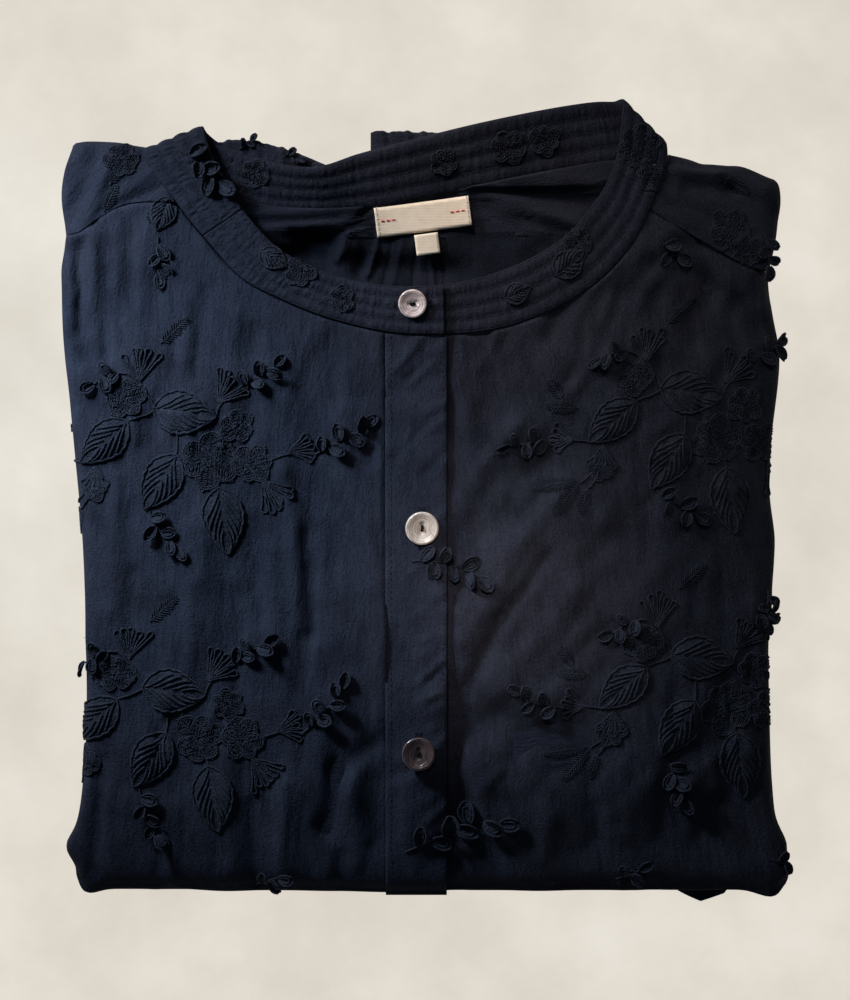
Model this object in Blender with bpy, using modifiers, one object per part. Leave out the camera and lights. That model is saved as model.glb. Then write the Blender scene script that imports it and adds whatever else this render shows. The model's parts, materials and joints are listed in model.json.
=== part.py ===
"""A folded collarless blouse in embroidered cotton, lying face up on a surface.

The blouse is folded as it is for a shelf: the sides and sleeves are turned behind, and the lower body is
turned up behind those, so that the chest shows, from the neck to a fold across the middle of the body.
Metres, +X towards the wearer's left, +Y towards the neck, +Z up from the surface. The origin is on the
surface, under the middle of the folded garment.
"""

import math
from functools import partial

import bmesh
import bpy
from mathutils import Matrix, Vector

# Driving sizes of the folded garment.
FOLDED_BOTTOM = -0.1646  # where the fold across the body lies
EDGE_HEIGHT = 0.0215  # top of the stack near its edges
CROWN = 0.0030  # how much higher the middle is
HALF_WIDTH = 0.152
HALF_LENGTH = 0.169
SIDE_FOLD = 0.0058  # radius of the folds down the two sides
BOTTOM_FOLD = 0.0100  # radius of the fold across the body
SIDE_END = 0.0103  # height at which a side fold turns under
BOTTOM_END = 0.0022  # height at which the bottom fold turns under
ROLL = math.radians(160)  # how far the cloth turns round a fold
ROLL_STEPS = 4

# Cloth.
CLOTH = 0.0014
CLEAR = 0.0004  # between one layer and the next
SEAM_GAP = 0.00024  # each side of a seam
NECK_CLEAR = 0.0024  # the yoke's end beside the turn of the neck band
UNDER_FRONT = CLOTH + CLEAR
SIDE_SLACK = 0.0014  # the hidden layers lie looser than that inside the folds

# Outline of the two folded sides, from the bottom fold to the shoulder: y, x.
LEFT_EDGE = [
    (-0.165, -0.1410),
    (-0.150, -0.1480),
    (-0.126, -0.1440),
    (-0.090, -0.1415),
    (-0.020, -0.1430),
    (0.036, -0.1480),
    (0.086, -0.1516),
    (0.111, -0.1487),
    (0.128, -0.1508),
    (0.152, -0.1470),
]
RIGHT_EDGE = [
    (-0.165, 0.1500),
    (-0.144, 0.1505),
    (-0.110, 0.1475),
    (-0.040, 0.1460),
    (-0.015, 0.1480),
    (0.019, 0.1465),
    (0.061, 0.1505),
    (0.094, 0.1466),
    (0.111, 0.1495),
    (0.140, 0.1518),
]
# Outline of the shoulders and the back of the neck: x, y.
TOP_EDGE = [
    (-0.150, 0.1480),
    (-0.142, 0.1516),
    (-0.118, 0.1478),
    (-0.090, 0.1440),
    (-0.050, 0.1400),
    (0.000, 0.1405),
    (0.060, 0.1430),
    (0.100, 0.1430),
    (0.117, 0.1424),
    (0.134, 0.1380),
    (0.152, 0.1340),
]

# The neck band as ribs all the way round it, clockwise from its right front join, seen from above:
# where it is sewn to the garment, and its free edge. Each is x, y, z at the middle of its thickness.
NECK = [
    ((-0.0920, 0.1105, 0.0228), (-0.0752, 0.1218, 0.0236)),
    ((-0.0764, 0.0932, 0.0233), (-0.0620, 0.1070, 0.0240)),
    ((-0.0596, 0.0840, 0.0237), (-0.0480, 0.0985, 0.0243)),
    ((-0.0386, 0.0756, 0.0240), (-0.0310, 0.0925, 0.0245)),
    ((-0.0134, 0.0697, 0.0242), (-0.0110, 0.0893, 0.0246)),
    ((0.0105, 0.0689, 0.0242), (0.0100, 0.0902, 0.0246)),
    ((0.0328, 0.0714, 0.0241), (0.0290, 0.0945, 0.0246)),
    ((0.0538, 0.0790, 0.0238), (0.0460, 0.1015, 0.0244)),
    ((0.0727, 0.0903, 0.0234), (0.0610, 0.1115, 0.0241)),
    ((0.0874, 0.1058, 0.0230), (0.0735, 0.1265, 0.0237)),
    ((0.0966, 0.1239, 0.0227), (0.0785, 0.1355, 0.0233)),
    ((0.1008, 0.1394, 0.0225), (0.0819, 0.1460, 0.0229)),
    ((0.1012, 0.1465, 0.0218), (0.0838, 0.1610, 0.0219)),
    ((0.1006, 0.1510, 0.0192), (0.0842, 0.1680, 0.0194)),
    ((0.0965, 0.1470, 0.0168), (0.0800, 0.1676, 0.0176)),
    ((0.0748, 0.1436, 0.0166), (0.0700, 0.1668, 0.0208)),
    ((0.0496, 0.1394, 0.0164), (0.0490, 0.1630, 0.0236)),
    ((0.0244, 0.1340, 0.0162), (0.0220, 0.1572, 0.0246)),
    ((-0.0008, 0.1285, 0.0160), (-0.0050, 0.1505, 0.0246)),
    ((-0.0218, 0.1250, 0.0158), (-0.0260, 0.1450, 0.0240)),
    ((-0.0433, 0.1240, 0.0156), (-0.0450, 0.1395, 0.0232)),
    ((-0.0685, 0.1255, 0.0156), (-0.0660, 0.1425, 0.0204)),
    ((-0.0960, 0.1370, 0.0160), (-0.0830, 0.1490, 0.0180)),
    ((-0.1125, 0.1440, 0.0168), (-0.0900, 0.1540, 0.0174)),
    ((-0.1156, 0.1470, 0.0192), (-0.0918, 0.1566, 0.0194)),
    ((-0.1138, 0.1430, 0.0217), (-0.0905, 0.1520, 0.0220)),
    ((-0.1085, 0.1330, 0.0224), (-0.0868, 0.1420, 0.0230)),
    ((-0.1010, 0.1215, 0.0226), (-0.0815, 0.1320, 0.0234)),
]
CENTRE_RIB = 4.95  # the right front band ends here, over the left one
LEFT_BAND_RIB = 4.30  # the left front band starts here, under the right one
RIGHT_JOIN_RIB = 11  # the left front band joins the back one
RIGHT_YOKE_RIB = 26.75  # where the wearer's right yoke seam meets the neck
LEFT_YOKE_RIB = 9.85
RIGHT_YOKE_TOP_RIB = 25.0
LEFT_YOKE_TOP_RIB = 12.0
BACK_SEAM_RIBS = (14.6, 22.6)  # ribs between which the back yoke is sewn on

# Band: four stitched channels, thick between the rows of stitching and thin along them.
BAND_CHANNELS = 4
BAND_THIN = 0.0007  # half its thickness along a row of stitching
BAND_THICK = 0.0011
BAND_LIFT = 0.0026  # the right front band over the end of the left one

# Shoulder yoke seams: x, y, from the side fold to the neck.
RIGHT_YOKE_SEAM = [(-0.1429, 0.1115), (-0.1350, 0.1184), (-0.1226, 0.1250)]
LEFT_YOKE_SEAM = [(0.1408, 0.0965), (0.1336, 0.0990), (0.1200, 0.1070)]

# Button placket down the right front.
PLACKET_LEFT = -0.0147
PLACKET_RIGHT = 0.0105
PLACKET_CLOTH = 0.0016
RISE_TO_PLACKET = 0.0016  # the right front comes up to the placket's level
RISE_START = -0.045

# Inside of the back, seen through the neck.
INSIDE_HEIGHT = 0.0120
INSIDE_SLOPE = 0.08
INSIDE_FRONT = 0.085  # y at which the inside lies at INSIDE_HEIGHT
WELL_FLOOR = 0.0116
WELL_CENTRE = (-0.006, 0.142)
WELL_REACH = (0.106, 0.0745)
WELL_INNER = 0.97
WELL_OUTER = 1.20
BACK_SHARE = 0.84  # how far under the front band the back reaches
BACK_SEAM_Y = 0.1095  # back yoke to gathered back
BACK_SIDES = (-0.078, 0.066)
BACK_YOKE_BULGE = 0.008  # how far its sides swing out under the front bands

# Largest folds: x and y of both ends, half-width, height.
FOLDS_RIGHT = [
    (-0.1430, 0.100, -0.1460, 0.055, 0.0040, 0.0012),
    (-0.1345, 0.104, -0.1370, 0.038, 0.0042, 0.0015),
    (-0.1245, 0.108, -0.1290, 0.020, 0.0050, 0.0012),
    (-0.1100, 0.108, -0.1120, 0.050, 0.0060, 0.0010),
    (-0.0930, 0.086, -0.1000, -0.060, 0.0080, 0.0010),
    (-0.0600, 0.060, -0.0660, -0.080, 0.0090, 0.0008),
    (-0.1220, -0.020, -0.1250, -0.130, 0.0060, 0.0012),
    (-0.0840, -0.090, -0.0820, -0.156, 0.0070, 0.0010),
    (-0.0400, -0.060, -0.0420, -0.150, 0.0080, 0.0008),
]
FOLDS_LEFT = [
    (0.0220, -0.060, 0.0700, 0.016, 0.0080, 0.0016),
    (0.0210, -0.112, 0.0640, -0.052, 0.0090, 0.0013),
    (0.0880, -0.040, 0.0960, -0.130, 0.0070, 0.0010),
    (0.1000, 0.020, 0.0940, -0.050, 0.0070, 0.0011),
    (0.1290, 0.078, 0.1320, -0.020, 0.0060, 0.0013),
    (0.1400, -0.030, 0.1390, -0.120, 0.0055, 0.0011),
    (0.0480, -0.100, 0.0500, -0.156, 0.0080, 0.0009),
]
FOLDS_RIGHT_YOKE = [(-0.1390, 0.132, -0.1270, 0.143, 0.0050, 0.0012)]
FOLDS_LEFT_YOKE = [
    (0.1140, 0.1370, 0.1440, 0.1230, 0.0042, 0.0021),
    (0.1080, 0.1200, 0.1380, 0.1090, 0.0070, 0.0010),
]
# Gathers of the back below its yoke: x at the yoke, x at the front, half-width, height.
GATHERS = [
    (-0.0620, -0.0500, 0.0050, 0.0022),
    (-0.0470, -0.0390, 0.0032, 0.0014),
    (-0.0340, -0.0300, 0.0030, 0.0018),
    (-0.0220, -0.0200, 0.0026, 0.0012),
    (-0.0110, -0.0110, 0.0030, 0.0020),
    (0.0010, 0.0000, 0.0026, 0.0014),
    (0.0120, 0.0110, 0.0030, 0.0021),
    (0.0250, 0.0220, 0.0028, 0.0014),
    (0.0390, 0.0330, 0.0034, 0.0018),
    (0.0550, 0.0440, 0.0045, 0.0012),
]

# Edges of the layers under the front, down a side: how far in from the outline, and height.
LAYERS = [
    (0.0064, 0.0101),
    (0.0022, 0.0088),
    (0.0014, 0.0071),
    (0.0038, 0.0056),
    (0.0022, 0.0042),
    (0.0022, 0.0030),
    (0.0040, 0.0018),
    (0.0026, 0.0007),
    (0.0036, 0.0000),
]
BOTTOM_LAYER_INSET = 0.0086
BOTTOM_LAYER_HEIGHT = 0.0026

# Thick embroidered leaves: x, y, heading in degrees, length, width.
LEAVES_RIGHT = [
    (-0.0995, 0.0360, 176, 0.027, 0.0165),
    (-0.1080, 0.0090, -118, 0.023, 0.0150),
    (-0.0840, -0.0070, -78, 0.028, 0.0165),
    (-0.1335, 0.0270, -140, 0.022, 0.0110),
    (-0.1045, -0.0800, 176, 0.027, 0.0165),
    (-0.1140, -0.1070, -118, 0.024, 0.0150),
    (-0.0900, -0.1270, -80, 0.028, 0.0165),
]
LEAVES_LEFT = [
    (0.1140, 0.0425, 172, 0.027, 0.0165),
    (0.1090, 0.0205, -112, 0.023, 0.0140),
    (0.1320, 0.0080, -62, 0.026, 0.0140),
    (0.0790, 0.0380, 40, 0.026, 0.0150),
    (0.1180, -0.0660, 174, 0.027, 0.0165),
    (0.1135, -0.0905, -112, 0.024, 0.0145),
    (0.1390, -0.1060, -68, 0.025, 0.0120),
    (0.0850, -0.0715, 40, 0.026, 0.0150),
]
LEAF_HEIGHT = 0.0013
# Loose embroidered petals in clusters: x, y, heading of the cluster, number of petals.
BUDS_RIGHT = [
    (-0.1100, -0.0180, -95, 4),
    (-0.0690, 0.0530, 40, 3),
    (-0.0330, 0.0280, 35, 4),
    (-0.1105, 0.1030, -95, 4),
    (-0.1370, -0.0590, 160, 3),
    (-0.0690, -0.0620, 45, 3),
    (-0.0350, -0.0830, 38, 4),
    (-0.1180, -0.1320, -92, 4),
]
BUDS_LEFT = [
    (0.0400, 0.0270, 160, 4),
    (0.0790, 0.0600, 150, 3),
    (0.1060, -0.0050, -95, 4),
    (0.1400, 0.0580, 20, 3),
    (0.1040, 0.1020, -75, 3),
    (0.0260, -0.0245, 10, 4),
    (0.0480, -0.0820, 165, 4),
    (0.0820, -0.0455, 160, 3),
    (0.1170, -0.1190, -85, 4),
    (0.1440, -0.0445, 15, 3),
    (0.0310, -0.1390, -15, 4),
    (0.1440, -0.1530, 8, 3),
]
PETAL_HEIGHT = 0.0020
PETAL_STEP = 0.0040  # from one petal's root to the next along the stalk
PETAL_SPREAD = 0.0140  # across a cluster

# Buttons: x, y, radius.
BUTTONS = [
    (-0.0038, 0.0819, 0.0060),
    (0.0000, -0.0118, 0.0070),
    (-0.0015, -0.1060, 0.0070),
]
BUTTON_HEIGHT = 0.0022
BUTTON_RIM = 0.0012
BUTTON_DISH = 0.0013
BUTTON_HOLE = 0.0009
BUTTON_HOLE_APART = 0.0026

# Labels at the back of the neck.
LABEL_CENTRE = (0.0004, 0.1193)
LABEL_SIZE = (0.0400, 0.0125)
LABEL_TURN = math.radians(7.5)
LABEL_CLOTH = 0.0010
LABEL_CURL = 0.0012
TAB_CENTRE = (0.0022, 0.1078)
TAB_SIZE = (0.0100, 0.0088)
TAB_LIFT = 0.0014

# Sleeves folded across the back, where they show behind the neck: x and y along the fold.
SLEEVE_RIGHT_FOLD = [(-0.0900, 0.1510), (-0.0740, 0.1526), (-0.0554, 0.1478), (-0.0400, 0.1415)]
SLEEVE_LEFT_FOLD = [(-0.0208, 0.1558), (-0.0080, 0.1560), (0.0080, 0.1552), (0.0240, 0.1530)]
SLEEVE_MIDDLE = 0.0132  # height of the middle of its fold
SLEEVE_HALF = 0.0012  # half its thickness where it goes under the back
SLEEVE_SWELL = 0.0005  # and how much fatter its fold is
SLEEVE_CLOTH = 0.0009
SLEEVE_INNER = 0.1355  # y that it reaches under the back

# Corner of the hem that shows under the bottom fold: x and y.
HEM_CORNER = [(0.1000, -0.1570), (0.1090, -0.1640), (0.1190, -0.1690), (0.1290, -0.1650), (0.1350, -0.1570)]
HEM_CLOTH = 0.0015


def clear_scene():
    for obj in list(bpy.data.objects):
        bpy.data.objects.remove(obj)


def new_collection(name):
    collection = bpy.data.collections.new(name)
    bpy.context.scene.collection.children.link(collection)
    return collection


def material(name, colour, roughness):
    made = bpy.data.materials.new(name)
    made.use_nodes = True
    shader = made.node_tree.nodes["Principled BSDF"]
    shader.inputs["Base Color"].default_value = (*colour, 1)
    shader.inputs["Roughness"].default_value = roughness
    shader.inputs["Metallic"].default_value = 0.0
    return made


def add_object(name, bm, collection, finish):
    """A new object from a bmesh, with its faces pointing out where it is closed."""
    mesh = bpy.data.meshes.new(name)
    bm.to_mesh(mesh)
    bm.free()
    mesh.materials.append(finish)
    mesh.shade_smooth()
    obj = bpy.data.objects.new(name, mesh)
    collection.objects.link(obj)
    return obj


def hermite(before, start, end, after, share):
    """A point between start and end on the smooth curve through four points in a row."""
    leave = (end - before) / 2
    arrive = (after - start) / 2
    return (
        start * (2 * share**3 - 3 * share**2 + 1)
        + leave * (share**3 - 2 * share**2 + share)
        + end * (3 * share**2 - 2 * share**3)
        + arrive * (share**3 - share**2)
    )


def value_at(table, key):
    """The second column of a table, read smoothly at a value of its first."""
    last = len(table) - 2
    i = next((n for n in range(last) if key < table[n + 1][0]), last)
    share = min(max((key - table[i][0]) / (table[i + 1][0] - table[i][0]), 0), 1)
    four = [table[min(max(n, 0), last + 1)][1] for n in (i - 1, i, i + 1, i + 2)]
    return hermite(*four, share)


def along(points, share):
    """The point at a share, 0 to 1, of the smooth curve through points."""
    at = min(max(share, 0), 1) * (len(points) - 1)
    i = min(int(at), len(points) - 2)
    four = [Vector(points[min(max(n, 0), len(points) - 1)]) for n in (i - 1, i, i + 1, i + 2)]
    return hermite(*four, at - i)


def rib(at):
    """The neck band's seam and free edge at a rib, or between two."""
    i = math.floor(at)
    return tuple(
        hermite(*[Vector(NECK[(i + n) % len(NECK)][side]) for n in (-1, 0, 1, 2)], at - i)
        for side in (0, 1)
    )


def neck_seam(at):
    return rib(at)[0].xy


def smoothstep(low, high, value):
    share = min(max((value - low) / (high - low), 0), 1)
    return share * share * (3 - 2 * share)


def crown(x, y):
    """Height of the top of the stack, with no folds in the cloth."""
    across = max(1 - (x / HALF_WIDTH) ** 2, 0)
    down = max(1 - (y / HALF_LENGTH) ** 2, 0)
    return EDGE_HEIGHT + CROWN * across * down


def ridges(folds, x, y):
    """How far soft folds lift the cloth at a place."""
    lift = 0.0
    for x0, y0, x1, y1, half_width, height in folds:
        run = Vector((x1 - x0, y1 - y0))
        share = min(max(Vector((x - x0, y - y0)).dot(run) / run.length_squared, 0), 1)
        away = Vector((x - x0, y - y0)) - run * share
        lift += height * math.exp(-away.length_squared / half_width**2)
    return lift


def right_front_height(x, y):
    rise = RISE_TO_PLACKET * smoothstep(RISE_START, PLACKET_LEFT, x)
    return crown(x, y) + ridges(FOLDS_RIGHT, x, y) + rise


def left_front_height(x, y):
    return crown(x, y) + ridges(FOLDS_LEFT, x, y)


def yoke_height(folds, x, y):
    return crown(x, y) + ridges(folds, x, y)


def inside_height(x, y):
    """Height of the inside of the back, seen through the neck."""
    return INSIDE_HEIGHT + INSIDE_SLOPE * (y - INSIDE_FRONT)


def gathered_height(x, y):
    share = smoothstep(INSIDE_FRONT, BACK_SEAM_Y, y)
    lift = 0.0
    for x_yoke, x_front, half_width, height in GATHERS:
        centre = x_front + (x_yoke - x_front) * share
        lift += height * math.exp(-(((x - centre) / half_width) ** 2))
    return inside_height(x, y) + lift


def hidden_height(x, y):
    """Height of the hidden layers: just under the front, and lower under the neck."""
    reach_x = (x - WELL_CENTRE[0]) / WELL_REACH[0]
    reach_y = min(y - WELL_CENTRE[1], 0) / WELL_REACH[1]
    out = smoothstep(WELL_INNER, WELL_OUTER, math.hypot(reach_x, reach_y))
    floor = min(inside_height(x, y) - UNDER_FRONT, WELL_FLOOR)
    return floor + (crown(x, y) - UNDER_FRONT - floor) * out


def fold_end(way):
    """Height at which the fold in this direction turns under."""
    return SIDE_END + (BOTTOM_END - SIDE_END) * max(-way.y, 0) ** 2


def cover(point, roll, height, out=0.0):
    """A place on cloth that covers the stack: flat at point, or rolled down round the fold beyond it.

    roll is how far round the fold it is, as x and y from -1 to 1, and out moves it off the cloth.
    """
    top = height(*point)
    far = max(abs(roll[0]), abs(roll[1]))
    if far == 0:
        return Vector((*point, top + out))
    way = Vector(roll).normalized()
    radius = (top - fold_end(way)) / (1 - math.cos(ROLL))
    angle = far * ROLL
    reach = way * (radius + out) * math.sin(angle)
    return Vector((point[0] + reach.x, point[1] + reach.y, top - radius + (radius + out) * math.cos(angle)))


def lay(x, y, height):
    """The place and the outward direction on the cloth above x, y, also where it starts down a fold."""
    left = value_at(LEFT_EDGE, y) + SIDE_FOLD
    right = value_at(RIGHT_EDGE, y) - SIDE_FOLD
    flat = Vector((min(max(x, left), right), y))
    off = x - flat.x
    if off == 0:
        return Vector((x, y, height(x, y))), Vector((0, 0, 1))
    angle = math.asin(min(max(off / SIDE_FOLD, -0.97), 0.97))
    spot = cover(flat, (angle / ROLL, 0), height)
    return spot, Vector((math.sin(angle), 0, math.cos(angle)))


def patch(bottom, top, left, right, u, v):
    """A point of the flat patch between four edges, each a function from 0 to 1."""
    ruled = bottom(u) * (1 - v) + top(u) * v + left(v) * (1 - u) + right(v) * u
    corners = (bottom(0) * (1 - u) + bottom(1) * u) * (1 - v) + (top(0) * (1 - u) + top(1) * u) * v
    return ruled - corners


def past_edge(share, count):
    """A share of the flat cloth, and how far round the fold past its edge."""
    inside = min(max(share, 0), 1)
    return inside, (share - inside) * count / ROLL_STEPS


def panel(name, flat, height, counts, rolls, collection, finish, out=0.0, thickness=CLOTH):
    """A piece of cloth as an open grid with Solidify.

    flat(u, v) is its flat shape, counts its columns and rows there, and rolls says on which of its left,
    right, bottom and top sides it goes on round a fold.
    """
    columns, rows = counts
    left, right, bottom, top = (ROLL_STEPS * side for side in rolls)
    across = columns + left + right
    upward = rows + bottom + top
    bm = bmesh.new()
    bmesh.ops.create_grid(bm, x_segments=across, y_segments=upward, size=1)
    for vert in bm.verts:
        u = (round((vert.co.x + 1) / 2 * across) - left) / columns
        v = (round((vert.co.y + 1) / 2 * upward) - bottom) / rows
        u, roll_x = past_edge(u, columns)
        v, roll_y = past_edge(v, rows)
        vert.co = cover(flat(u, v), (roll_x, roll_y), height, out - thickness)
    obj = add_object(name, bm, collection, finish)
    solidify = obj.modifiers.new("Cloth", "SOLIDIFY")
    solidify.thickness = thickness
    solidify.offset = 1
    solidify.use_even_offset = True
    return obj


def loft(name, rings, collection, finish):
    """A closed solid through rings of as many points each, capped at both ends."""
    bm = bmesh.new()
    loops = [[bm.verts.new(point) for point in ring] for ring in rings]
    count = len(rings[0])
    for first, second in zip(loops, loops[1:]):
        for i in range(count):
            j = (i + 1) % count
            bm.faces.new((first[i], first[j], second[j], second[i]))
    bm.faces.new(loops[0])
    bm.faces.new(loops[-1])
    bmesh.ops.recalc_face_normals(bm, faces=bm.faces)
    return add_object(name, bm, collection, finish)


def shift(vector, y):
    return vector + Vector((0, y))


def front_top(seam, yoke_rib, end_rib, yoke_share, u):
    """The upper edge of a front: its yoke seam, and then the neck seam to the centre front."""
    if u <= yoke_share:
        return shift(along([*seam, neck_seam(yoke_rib)], u / yoke_share), -SEAM_GAP)
    share = (u - yoke_share) / (1 - yoke_share)
    return shift(neck_seam(yoke_rib + (end_rib - yoke_rib) * share), -SEAM_GAP)


def side_line(edge, inset, low, high, v):
    y = low + (high - low) * v
    return Vector((value_at(edge, y) + inset, y))


def line(start, end, share):
    return Vector(start).lerp(Vector(end), share)


def right_front_flat():
    """Flat shape of the wearer's right front, which shows on the left."""
    low = FOLDED_BOTTOM + BOTTOM_FOLD
    centre = PLACKET_LEFT - SEAM_GAP
    top = partial(front_top, RIGHT_YOKE_SEAM, RIGHT_YOKE_RIB - len(NECK), CENTRE_RIB - 1.05, 0.25)
    left = partial(side_line, LEFT_EDGE, SIDE_FOLD, low, top(0).y)
    bottom = partial(line, left(0), (centre, low))
    right = partial(line, (centre, low), top(1))
    return partial(patch, bottom, top, left, right)


def left_front_flat():
    """Flat shape of the wearer's left front, which goes on under the placket."""
    low = FOLDED_BOTTOM + BOTTOM_FOLD

    def top(u):
        return front_top(LEFT_YOKE_SEAM, LEFT_YOKE_RIB, LEFT_BAND_RIB, 0.25, 1 - u)

    right = partial(side_line, RIGHT_EDGE, -SIDE_FOLD, low, top(1).y)
    bottom = partial(line, (top(0).x, low), right(0))
    left = partial(line, (top(0).x, low), top(0))
    return partial(patch, bottom, top, left, right)


def yoke_flat(seam, yoke_rib, top_rib, edge, inset):
    """Flat shape of the part of the yoke that shows on one shoulder, from the side to the neck."""

    def bottom(u):
        return shift(along([*seam, neck_seam(yoke_rib)], u), SEAM_GAP)

    def neck(v):
        away = Vector((math.copysign(NECK_CLEAR, inset), 0))
        return shift(neck_seam(yoke_rib + (top_rib - yoke_rib) * v), SEAM_GAP * (1 - v)) - away * v**2

    def side(v):
        y = bottom(0).y + (value_at(TOP_EDGE, seam[0][0]) - SIDE_FOLD - bottom(0).y) * v
        return Vector((value_at(edge, y) + inset, y)).lerp(bottom(0), 1 - min(v * 4, 1))

    def top(u):
        start, end = side(1), neck(1)
        x = start.x + (end.x - start.x) * u
        level = value_at(TOP_EDGE, x) - SIDE_FOLD
        gap_start = start.y - (value_at(TOP_EDGE, start.x) - SIDE_FOLD)
        gap_end = end.y - (value_at(TOP_EDGE, end.x) - SIDE_FOLD)
        return Vector((x, level + gap_start * (1 - u) + gap_end * u))

    return partial(patch, bottom, top, side, neck)


def mirrored(flat):
    """The same flat shape with its columns the other way round."""
    return lambda u, v: flat(1 - u, v)


def placket_flat():
    low = FOLDED_BOTTOM + BOTTOM_FOLD
    left = PLACKET_LEFT + SEAM_GAP

    def flat(u, v):
        x = left + (PLACKET_RIGHT - left) * u
        top = neck_seam(CENTRE_RIB - 1.05 * (1 - u)).y - 2 * SEAM_GAP
        return Vector((x, low + (top - low) * v))

    return flat


def back_yoke_flat():
    start, end = BACK_SEAM_RIBS

    def flat(u, v):
        seam = neck_seam(end + (start - end) * u)
        low = Vector((BACK_SIDES[0] + (BACK_SIDES[1] - BACK_SIDES[0]) * u, BACK_SEAM_Y + SEAM_GAP))
        swing = BACK_YOKE_BULGE * (2 * u - 1) ** 3 * math.sin(math.pi * v)
        return low.lerp(shift(seam, -0.0012), v) + Vector((swing, 0))

    return flat


def back_flat():
    """Flat shape of the gathered back that shows below its yoke, out to under the front band."""
    half = back_yoke_flat()

    def flat(u, v):
        top = shift(half(u, 0), -2 * SEAM_GAP)
        reach = Vector(WELL_REACH) * BACK_SHARE
        x = top.x
        drop = math.sqrt(1 - ((x - WELL_CENTRE[0]) / reach.x) ** 2)
        return Vector((x, WELL_CENTRE[1] - reach.y * drop)).lerp(top, v)

    return flat


def band_ring(at, lift=0.0):
    """A section across the neck band: ribbed on both faces, from its seam to its free edge."""
    step = 0.02
    seam, free = rib(at)
    before, after = rib(at - step), rib(at + step)
    across = (free - seam).normalized()
    seam += across * 1.5 * SEAM_GAP
    upper, lower = [], []
    count = 2 * BAND_CHANNELS
    for i in range(count + 1):
        share = i / count
        run = (after[0] - before[0]).lerp(after[1] - before[1], share)
        normal = run.cross(across).normalized()
        half = BAND_THICK if i % 2 else BAND_THIN
        middle = seam.lerp(free, share) + Vector((0, 0, lift))
        upper.append(middle + normal * half)
        lower.append(middle - normal * half)
    return [*upper, *lower[::-1]]


def band(name, start, end, stations, collection, finish, lift_from=None):
    """A stretch of the neck band between two ribs, lifted from one of them on."""
    rings = []
    for i in range(stations + 1):
        at = start + (end - start) * i / stations
        lift = BAND_LIFT * smoothstep(lift_from, end - 0.35, at) if lift_from else 0.0
        rings.append(band_ring(at, lift))
    return loft(name, rings, collection, finish)


def hump(x, y, row, length, width):
    """A low rounded form, 0 to 1, over a pointed oval at row's place and heading."""
    turn = math.radians(row[2])
    ahead = (x - row[0]) * math.cos(turn) + (y - row[1]) * math.sin(turn)
    aside = (y - row[1]) * math.cos(turn) - (x - row[0]) * math.sin(turn)
    return math.sqrt(max(1 - (2 * ahead / length) ** 2 - (2 * aside / width) ** 2, 0))


def embroidery(leaves, buds, x, y):
    """How far the thick embroidery stands out from the cloth at a place."""
    lifts = [LEAF_HEIGHT * hump(x, y, row, *row[3:]) for row in leaves]
    for row in buds:
        lifts.append(PETAL_HEIGHT * hump(x, y, row, PETAL_STEP * (row[3] + 2), PETAL_SPREAD))
    return max(lifts)


def raise_outside(obj, lift, highest):
    """Raise a panel's outer points by lift(x, y), and leave its inside plain."""
    solidify = obj.modifiers["Cloth"]
    thickest = solidify.thickness + highest
    group = obj.vertex_groups.new(name="raised")
    for vert in obj.data.vertices:
        if vert.normal.z > 0.3:
            group.add([vert.index], lift(vert.co.x, vert.co.y) / highest, "REPLACE")
    solidify.vertex_group = group.name
    solidify.thickness_vertex_group = solidify.thickness / thickest
    solidify.thickness = thickest


def folded_layers(collection, finish):
    """The hidden layers as one solid: a top that the visible cloth lies on, and layered edges."""
    columns, rows = 18, 20
    bm = bmesh.new()
    bmesh.ops.create_grid(bm, x_segments=columns, y_segments=rows, size=1)
    outward = {}
    for vert in bm.verts:
        u, v = vert.co.x, vert.co.y
        # Rows and columns lie closer together towards the edges.
        across, up = (0.5 + 0.5 * math.sin(share * math.pi / 2) for share in (u, v))
        low = FOLDED_BOTTOM + BOTTOM_FOLD
        high = value_at(TOP_EDGE, HALF_WIDTH * (2 * across - 1)) - SIDE_FOLD
        y = low + (high - low) * up
        left = value_at(LEFT_EDGE, y) + SIDE_FOLD
        right = value_at(RIGHT_EDGE, y) - SIDE_FOLD
        x = left + (right - left) * across
        edge = Vector((0.0, 0.0))
        if abs(u) > 0.999:
            edge.x = math.copysign(1, u)
        if abs(v) > 0.999:
            edge.y = math.copysign(1, v)
        vert.co = Vector((x, y, hidden_height(x, y)))
        if edge.length > 0:
            outward[vert] = (Vector((x, y)), edge)
    loop = {vert: spot for vert, spot in outward.items()}
    steps = [("roll", step / ROLL_STEPS) for step in range(1, ROLL_STEPS + 1)]
    steps += [("layer", i) for i in range(len(LAYERS))]
    for kind, amount in steps:
        edges = [edge for edge in bm.edges if edge.is_boundary]
        made = bmesh.ops.extrude_edge_only(bm, edges=edges)["geom"]
        fresh = {item for item in made if isinstance(item, bmesh.types.BMVert)}
        following = {}
        for vert in fresh:
            partner = next(e.other_vert(vert) for e in vert.link_edges if e.other_vert(vert) in loop)
            following[vert] = loop[partner]
            point, edge = loop[partner]
            if kind == "roll":
                vert.co = roll_place(point, edge, amount)
            else:
                vert.co = layer_place(point, edge, *LAYERS[amount], amount / (len(LAYERS) - 1))
        loop = following
    bmesh.ops.holes_fill(bm, edges=[edge for edge in bm.edges if edge.is_boundary])
    bmesh.ops.recalc_face_normals(bm, faces=bm.faces)
    return add_object("folded_layers", bm, collection, finish)


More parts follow.
